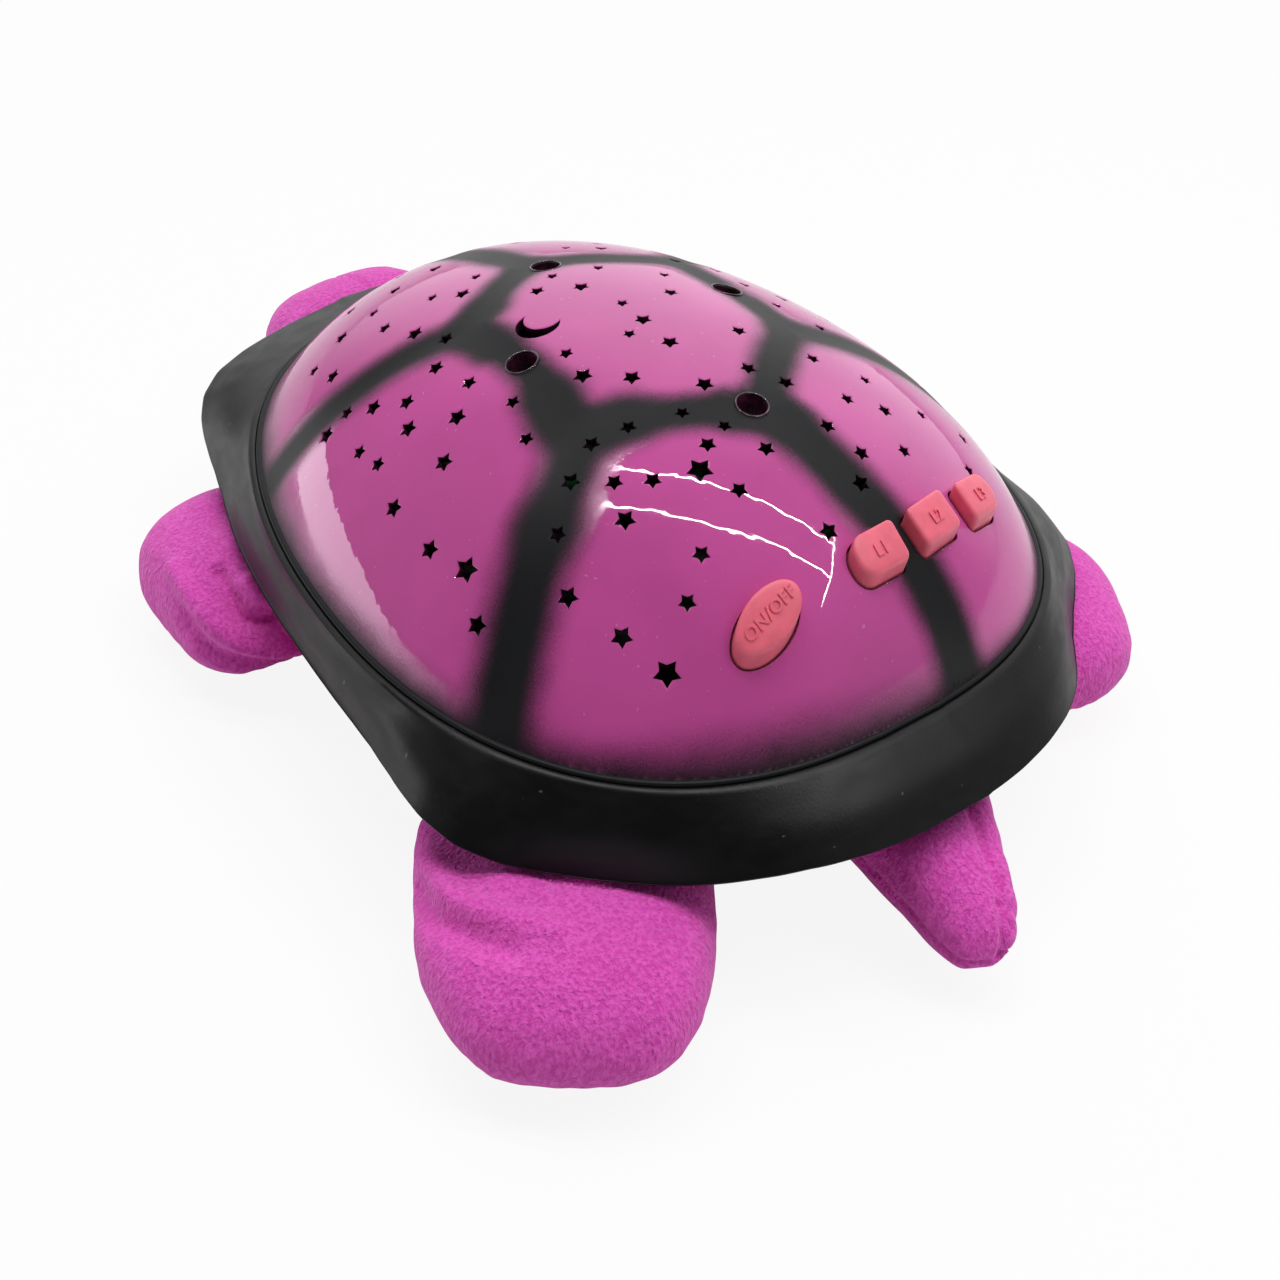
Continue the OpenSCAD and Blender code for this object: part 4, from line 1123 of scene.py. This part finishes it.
def creaseAlong(co, line, half):
    # share 1 on the line, fading to 0 at half
    gap = np.full(len(co), 1e9)
    for a, b in zip(line[:-1], line[1:]):
        gap = np.minimum(gap, np.linalg.norm(fromSegment(co, a, b), axis=1))
    return peak(gap, half)


def sewLimb(node, stations, voxel, cap):
    # a slim skin, held where it meets the belly, is filled and then made finer
    points, faces = ringsToMesh(limbRings(stations))
    piece = newPiece(node + "Plush", keepOffBelly(points), faces, None)
    remesh(piece, voxel)
    co = coordinates(piece)
    clear = (outlineShare(co[:, 0], co[:, 1]) - bellyShare(co[:, 2])) * belly["reach"]
    held = np.clip(1 - smoothstep(clear, 0, plush["heldFade"]), 0, 1)
    stuff(piece, held, plush["pressure"], cap)
    subdivide(piece, 2)
    return piece, coordinates(piece), vertexNormals(piece)


def finishPlush(piece, co, node):
    co[:, 2] += shell["base"]
    setCoordinates(piece, co)
    piece.data.materials.append(plushPile)
    piece.data.polygons.foreach_set("use_smooth", [True] * len(piece.data.polygons))
    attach(piece, "body")
    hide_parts(node)


flippers = {
    "halfThick": 16, "rootZ": -32.2, "tipZ": -33.7, "shrink": 0.955,
    "seamZ": -9, "seamDeep": 1.3, "puckerDeep": 0.5, "foldDeep": 0.9,
    "lumps": [(1.0, 24, 9), (0.2, 7, 11)],
    "lowest": -49.7, "flattened": 0.1,     # what would go through the floor keeps a tenth of its depth
    # share of the reach, share of the sink, of the half width and of the half thickness
    "stations": [(0, 0, 0.9, 0.8), (0.2, 0.1, 0.97, 0.92), (0.4, 0.3, 1, 1), (0.6, 0.5, 1, 1),
                 (0.78, 0.75, 0.92, 0.95), (0.9, 0.9, 0.8, 0.78), (0.97, 0.97, 0.62, 0.5), (1, 1, 0.44, 0.2)],
    # root, way, reach, half width, then how far each side is let out at the root, the middle and the tip
    "places": {
        "flipper_front_left": ((-54, 58), 179, 43, 27, (6, 2.5, -2), (5, 5.5, 4.5)),
        "flipper_front_right": ((54, 58), 4, 42, 27, (2.5, 2.5, 1), (2, 2, 0)),
        "flipper_rear_left": ((-56, -58), -124, 67.5, 30.5, (6, 2.8, -2.5), (5, 1.2, -2)),
        "flipper_rear_right": ((50, -50), -30, 57, 30.5, (3.5, 1, -1), (13, 8.5, 0)),
    },
    # ridges and creases: half width, height, then the points from the root outwards
    "ridges": {
        "flipper_rear_left": [
            (5.5, 3.0, [(-92.5, -54, -24), (-93.5, -62, -21), (-94, -70.5, -20), (-92, -79, -17.5),
                        (-88.5, -85, -16), (-84, -92, -15.5)]),
            (5.0, -2.2, [(-97, -60, -27), (-98.5, -70, -25), (-97, -80, -22), (-93, -90, -20)]),
        ],
        "flipper_front_left": [
            (4.5, 3.2, [(-93, 56, -21), (-93, 51, -21.5), (-92, 43, -24), (-92, 37.5, -25.5),
                        (-90.5, 33.5, -27.5), (-86.5, 30, -30.5), (-82, 28, -32.5), (-74, 27, -34)]),
            (5.0, -2.0, [(-95, 44, -29), (-93, 36, -32), (-88, 30, -35), (-80, 27, -38)]),
            (3.2, -2.8, [(-85, 46, -19.5), (-85.5, 42, -21), (-86, 37.5, -21.7), (-86, 34, -24),
                         (-83.5, 31.5, -25.3), (-80, 31, -25)]),
            (4.5, 2.4, [(-81, 39, -20.5), (-80, 34, -22)]),
        ],
    },
}


def makeFlipper(node, seed):
    (rootX, rootY), way, reach, wide, letRight, letLeft = flippers["places"][node]
    ahead, side = heading(way)
    root = np.array([rootX, rootY, 0.0])
    rootZ, drop = flippers["rootZ"], flippers["tipZ"] - flippers["rootZ"]
    shrink = flippers["shrink"]
    table = np.array(flippers["stations"])
    stations = []
    for share in np.linspace(0, 1, 25):
        sink, w, t = (np.interp(share, table[:, 0], table[:, k]) for k in (1, 2, 3))
        right, left = (np.interp(share, [0, 0.5, 1], let) for let in (letRight, letLeft))
        centre = root + share * reach * ahead + [0, 0, rootZ + drop * sink] + side * (left - right) / 2
        half = wide * w * shrink + (left + right) / 2
        stations.append((centre, way, half, flippers["halfThick"] * t * shrink))
    piece, co, normals = sewLimb(node, stations, plush["voxel"], plush["cap"])
    along, across = (co - root) @ ahead, (co - root) @ side
    height = co[:, 2] - (rootZ + drop * np.clip(along / reach, 0, 1)) - flippers["seamZ"]
    # seam round the edge, then folds that run out from the root
    seam = peak(height, 2.0) ** 2 * smoothstep(along, reach * 0.1, reach * 0.35)
    pucker = 0.5 + 0.5 * np.sin(across * 0.9 + along * 1.3 + 3 * softNoise(co, 14, seed))
    move = -flippers["seamDeep"] * seam
    move -= flippers["puckerDeep"] * pucker * peak(height, 6) ** 2 * (along > 0)
    folds = np.sin(across * 0.36 + 2.2 * softNoise(co * [1, 1, 0.5], 30, seed + 5))
    move += flippers["foldDeep"] * folds * (1 - smoothstep(along, reach * 0.15, reach * 0.75))
    move += uneven(co, flippers["lumps"], seed)
    for half, rise, line in flippers["ridges"].get(node, []):
        move += rise * smoothstep(creaseAlong(co, curved(line, 5), half), 0, 1)
    co += normals * move[:, None]
    below = np.minimum(co[:, 2] - flippers["lowest"], 0)
    co[:, 2] = np.where(below < 0, flippers["lowest"] + flippers["flattened"] * below, co[:, 2])
    finishPlush(piece, keepUnderRim(keepOffBelly(co)), node)


for number, node in enumerate(flippers["places"]):
    makeFlipper(node, 3.1 + 7 * number)
print("stage: flippers made")

headTail = {
    "head": {
        "root": (1, 88), "way": 90, "wide": 29.5, "seed": 41.0,
        # along, height, share of the half width, half thickness
        "stations": [(0, -25, 0.75, 14), (12, -24, 0.85, 16), (24, -23, 0.97, 18), (36, -23, 1, 19),
                     (46, -24, 0.94, 17.5), (54, -25, 0.76, 13.5), (59, -26, 0.5, 8), (60.5, -27, 0.25, 4)],
    },
    "tail": {
        "root": (10, -88), "way": -107, "wide": 20, "seed": 52.0,
        "stations": [(0, -30, 1.14, 12), (14, -30, 0.95, 12), (28, -31, 0.73, 11.5), (38, -32, 0.57, 10.5),
                     (48, -34, 0.42, 8), (52, -35, 0.26, 5)],
        "crease": 1.5, "roll": 0.9, "rollAway": 3.5,       # along the left half of the top
        "pinchAt": 46, "pinch": 0.9,
    },
    "shrink": 0.97, "voxelShare": 0.8, "cap": 3,
    "seamZ": -1, "seamDeep": 1.2, "headSeamDeep": 0.9,
    "lumps": [(0.9, 18, 0), (0.3, 6, 4)],
}


def makeHeadOrTail(node):
    values = headTail[node]
    seed, way, shrink = values["seed"], values["way"], headTail["shrink"]
    ahead, side = heading(way)
    root = np.array([*values["root"], 0.0])
    table = np.array(values["stations"])
    stations = []
    for at in np.linspace(0, table[-1, 0], 28):
        z, w, t = (np.interp(at, table[:, 0], table[:, k]) for k in (1, 2, 3))
        stations.append((root + at * ahead + [0, 0, z], way, values["wide"] * w * shrink, t * shrink))
    piece, co, normals = sewLimb(node, stations, plush["voxel"] * headTail["voxelShare"], headTail["cap"])
    along, across = (co - root) @ ahead, (co - root) @ side
    height = co[:, 2] - np.interp(along, table[:, 0], table[:, 1])
    seam = peak(height - headTail["seamZ"], 1.8) ** 2 * smoothstep(along, 4, 12)
    move = -headTail["seamDeep"] * seam + uneven(co, headTail["lumps"], seed)
    if node == "tail":
        # a crease and a soft roll along one side, then a pinch across the tip
        fromCrease = across - 0.5 * values["wide"] * np.interp(along, table[:, 0], table[:, 2])
        upper = (height > -2) & (along > -2)
        move -= values["crease"] * peak(fromCrease, 1.7) * upper
        move += values["roll"] * peak(fromCrease - values["rollAway"], 3) * upper
        pinch = peak(along - values["pinchAt"] - 0.25 * (across - 6), 2.6) ** 2
        move -= values["pinch"] * pinch * (height > -3) * smoothstep(across, -1, 6)
    else:
        # the seam down the middle of the head
        move -= headTail["headSeamDeep"] * peak(across, 1.6) ** 2 * (height > 0) * smoothstep(along, 4, 14)
    co += normals * move[:, None]
    finishPlush(piece, keepUnderRim(keepOffBelly(co)), node)


makeHeadOrTail("head")
makeHeadOrTail("tail")
print("stage: head and tail made")


def makeBelly():
    # side and floor of the belly, then up into the battery well
    outline = evenly(footLine, 3.2, closed=True)
    flatShare = belly["levels"][0][0]
    x0, x1, y0, y1 = belly["well"]
    centre = np.array([(x0 + x1) / 2, (y0 + y1) / 2])
    half = np.array([(x1 - x0) / 2, (y1 - y0) / 2])
    way = outline * flatShare - centre
    # a rounded box: points of the well's edge that lie the same way from its middle
    power = belly["wellCorner"]
    scale = (np.abs(way[:, 0] / half[0]) ** power + np.abs(way[:, 1] / half[1]) ** power) ** (-1 / power)
    wellRing = centre + way * scale[:, None]
    outward = way / np.linalg.norm(way, axis=1, keepdims=True)
    sides = [(bellyShare(z), z) for z in [-5.2, -7.2, *np.linspace(-9.5, -47, 14)]]
    sides += [(0.7, -48.5), (0.665, -49.5), (flatShare, -50)]
    levels = [(outline * 0.82, -5.2)]
    levels += [(outline * share, z) for share, z in sides]
    levels += [(outline * flatShare * (1 - t) + wellRing * t, -50) for t in np.linspace(0.15, 0.9, 6)]
    levels += [(wellRing + outward * out, z) for out, z in ((1.6, -49.8), (0.5, -49.0))]
    levels += [(wellRing, z) for z in (-47.5, -42, -36, -30, belly["wellTop"])]
    rings = [np.hstack([line, np.full((len(line), 1), float(z))]) for line, z in levels]
    count = len(outline)
    faces = tubeFaces(len(rings), count)
    top = (len(rings) - 1) * count
    for k in range(count):
        n = (k + 1) % count
        faces.append((k, n, top + n, top + k))
    piece = newPiece("bellyPlush", np.vstack(rings), faces, None)
    co = coordinates(piece)
    z = co[:, 2]
    onSide = np.abs(outlineShare(co[:, 0], co[:, 1]) - bellyShare(z)) < 0.01
    free = smoothstep(-z, 8, 16) * (1 - smoothstep(-z, 40, 47)) * onSide
    stuff(piece, 1 - free, 2.5, 2.5)
    subdivide(piece, 1)
    co, normals = coordinates(piece), vertexNormals(piece)
    z = co[:, 2]
    onSide = (outlineShare(co[:, 0], co[:, 1]) > bellyShare(z) - 0.04) & (z > -49.4)
    seam = peak(z - belly["seamZ"], 1.8) ** 2
    lumps = uneven(co, belly["lumps"])
    co += normals * np.where(onSide, lumps - belly["seamDeep"] * seam, 0)[:, None]
    co[:, 2] = np.clip(co[:, 2], -49.85, -5.2)
    finishPlush(piece, co, "belly_cover")


makeBelly()
print("stage: belly made")


def plainFinish(name, low, high, rough, **sockets):
    # moulded or metal finish: two near tones, a rough range and a fine grain
    material = newMaterial(name, **sockets)
    join(material, blotches(material, (90, 5), (0.3, 0.7), low, high), "Base Color")
    join(material, ramp(material, objectNoise(material, 240, 5), 0.3, 0.7, *rough), "Roughness")
    join(material, bumps(material, objectNoise(material, 1500, 3), 0.00003, 0.5), "Normal")
    return material


metal, clearLens = {"Metallic": 1.0}, {"Transmission_Weight": 0.6, "IOR": 1.5}
# pieces that keep their own shape: low tone, high tone, range of roughness, nodes, other sockets
finishes = {
    "trayPlastic": ((0.012, 0.012, 0.014), (0.02, 0.02, 0.023), (0.35, 0.5),
                    ["base_tray", "battery_door"], {}),
    # the lamp plate and collar are dark grey: painted shade for the dark inside seen through the holes
    "plateGreyPaintedShade": ((0.06, 0.06, 0.06), (0.08, 0.08, 0.08), (0.5, 0.65), ["lamp_plate", "led_collar"], {}),
    "boardGreen": ((0.012, 0.13, 0.04), (0.018, 0.19, 0.06), (0.25, 0.4),
                   ["light_board", "button_board"], {}),
    "switchBlack": ((0.012, 0.012, 0.012), (0.02, 0.02, 0.02), (0.4, 0.55),
                    ["tact_switches", "timer_parts", "plunger_power"]
                    + [f"plunger_light_{number}" for number in (1, 2, 3)], {}),
    "screwSteel": ((0.42, 0.42, 0.43), (0.55, 0.55, 0.56), (0.25, 0.42),
                   ["dome_screws", "board_screws", "plate_screws", "door_screw"], metal),
    "contactSteel": ((0.55, 0.55, 0.53), (0.68, 0.68, 0.66), (0.2, 0.35),
                     ["battery_springs", "battery_contacts"], metal),
    "cellJacket": ((0.03, 0.12, 0.34), (0.04, 0.16, 0.42), (0.25, 0.4),
                   [f"battery_{number}" for number in (1, 2, 3)], {}),
    "wireRed": ((0.4, 0.015, 0.012), (0.5, 0.02, 0.018), (0.35, 0.5), ["wire_loom"], {}),
    "lampBlue": ((0.05, 0.12, 0.8), (0.07, 0.16, 0.9), (0.08, 0.14), ["led_blue"], clearLens),
    "lampGreen": ((0.03, 0.55, 0.08), (0.04, 0.65, 0.1), (0.08, 0.14), ["led_green"], clearLens),
    "lampAmber": ((0.9, 0.35, 0.03), (0.95, 0.42, 0.05), (0.08, 0.14), ["led_amber"], clearLens),
    "eyeBlack": ((0.006, 0.006, 0.007), (0.01, 0.01, 0.011), (0.06, 0.12), ["eyes"], {"Coat_Weight": 0.6}),
}
for name, (low, high, rough, nodes, sockets) in finishes.items():
    finish = plainFinish(name, low, high, rough, **sockets)
    for node in nodes:
        holder = cadNodes[node].data
        holder.materials.clear()
        holder.materials.append(finish)
print("stage: inner parts finished")

studio = {
    "floor": 3.0, "floorGlow": 0.9, "world": 0.28,
    # glow and dark side of the room: way, cosine where it starts and is full, strength
    "glows": [((0.74, 0.62, 0.26), 0.5, 0.95, 1.13), ((-0.72, -0.55, 0.42), 0.15, 0.85, -0.26)],
    "lights": [
        # name, place, size, what it aims at or its turn overhead, watts, colour, seen in reflections
        ("tube", (0.205, -0.01, 1.2), (1.70, 0.007), -52, 6.3, (1, 0.99, 0.98), True),
        ("tube", (0.075, -0.235, 1.2), (1.81, 0.007), -52, 6.3, (1, 0.99, 0.98), True),
        ("tube", (0.637, -0.93, 1.2), (0.70, 0.006), 69.7, 1.4, (1, 0.99, 0.98), True),
        ("window", (-0.95, 0.95, 0.115), (1.6, 0.22), (0, 0, 0.115), 4.1, (0.97, 0.98, 1), True),
        ("fill", (-0.3, -1.25, 0.42), (0.9, 0.5), (0, 0, 0.03), 0.8, (1, 0.98, 0.97), False),
    ],
    "view": {
        "place": (-0.22635, -0.28855, 0.31512), "lens": 52.93, "film": 36,
        "right": (0.7985, -0.6003, 0.0449), "up": (0.3634, 0.5402, 0.7590),
        "ahead": (0.4799, 0.5898, -0.6495),
    },
}


def makeFloor():
    half = studio["floor"] / 2
    floor = bpy.data.objects.new("floor", bpy.data.meshes.new("floor"))
    corners = [(-half, -half, 0), (half, -half, 0), (half, half, 0), (-half, half, 0)]
    floor.data.from_pydata(corners, [], [(0, 1, 2, 3)])
    bpy.context.scene.collection.objects.link(floor)
    material = newMaterial("floorPaper", Base_Color=(0.86, 0.86, 0.86, 1), Roughness=0.9)
    tree = material.node_tree
    ray = addNode(material, "ShaderNodeLightPath")
    seen = addNode(material, "ShaderNodeEmission", in_Strength=1.0)
    seen.inputs["Color"].default_value = (1, 1, 1, 1)
    mix = addNode(material, "ShaderNodeMixShader")
    share = calc(material, "MULTIPLY", ray.outputs["Is Camera Ray"], studio["floorGlow"])
    tree.links.new(share, mix.inputs[0])
    tree.links.new(tree.nodes["Principled BSDF"].outputs[0], mix.inputs[1])
    tree.links.new(seen.outputs[0], mix.inputs[2])
    tree.links.new(mix.outputs[0], tree.nodes["Material Output"].inputs["Surface"])
    floor.data.materials.append(material)


def makeWorld():
    world = bpy.data.worlds.new("studio")
    world.use_nodes = True
    bpy.context.scene.world = world
    tree = world.node_tree
    background = tree.nodes["Background"]
    background.inputs["Color"].default_value = (1, 1, 1, 1)

    def link(source, node, index):
        tree.links.new(source, node.inputs[index])

    way = tree.nodes.new("ShaderNodeTexCoord").outputs["Generated"]
    total = None
    for centre, start, full, glow in studio["glows"]:
        toward = tree.nodes.new("ShaderNodeVectorMath")
        toward.operation = "DOT_PRODUCT"
        toward.inputs[1].default_value = Vector(centre).normalized()
        link(way, toward, 0)
        part = tree.nodes.new("ShaderNodeMapRange")
        part.interpolation_type = "SMOOTHSTEP"
        for index, value in ((1, start), (2, full), (3, 0), (4, glow)):
            part.inputs[index].default_value = value
        link(toward.outputs["Value"], part, 0)
        added = tree.nodes.new("ShaderNodeMath")
        added.inputs[1].default_value = studio["world"]
        link(part.outputs[0], added, 0)
        if total is not None:
            link(total, added, 1)
        total = added.outputs[0]
    ray = tree.nodes.new("ShaderNodeLightPath")
    shown = tree.nodes.new("ShaderNodeMix")
    shown.inputs[3].default_value = 1.0
    link(ray.outputs["Is Camera Ray"], shown, 0)
    link(total, shown, 2)
    tree.links.new(shown.outputs[0], background.inputs["Strength"])


def makeLights():
    for name, place, size, aim, watts, colour, shines in studio["lights"]:
        lamp = bpy.data.lights.new(name, "AREA")
        lamp.shape = "RECTANGLE"
        lamp.size, lamp.size_y = size
        lamp.energy = watts
        lamp.color = colour
        holder = bpy.data.objects.new(name, lamp)
        holder.location = place
        if name == "tube":
            holder.rotation_euler = (0, 0, math.radians(aim))
        else:
            holder.rotation_euler = (Vector(aim) - Vector(place)).to_track_quat("-Z", "Y").to_euler()
        holder.visible_glossy = shines
        bpy.context.scene.collection.objects.link(holder)


def makeCamera():
    view = studio["view"]
    camera = bpy.data.cameras.new("camera")
    camera.lens = view["lens"]
    camera.sensor_width = view["film"]
    camera.clip_start = 0.01
    holder = bpy.data.objects.new("camera", camera)
    turn = Matrix([[view["right"][k], view["up"][k], -view["ahead"][k]] for k in range(3)])
    holder.matrix_world = Matrix.Translation(view["place"]) @ turn.to_4x4()
    bpy.context.scene.collection.objects.link(holder)
    bpy.context.scene.camera = holder


makeFloor()
makeWorld()
makeLights()
makeCamera()
bpy.context.scene.view_settings.view_transform = "Standard"
print("stage: scene ready")
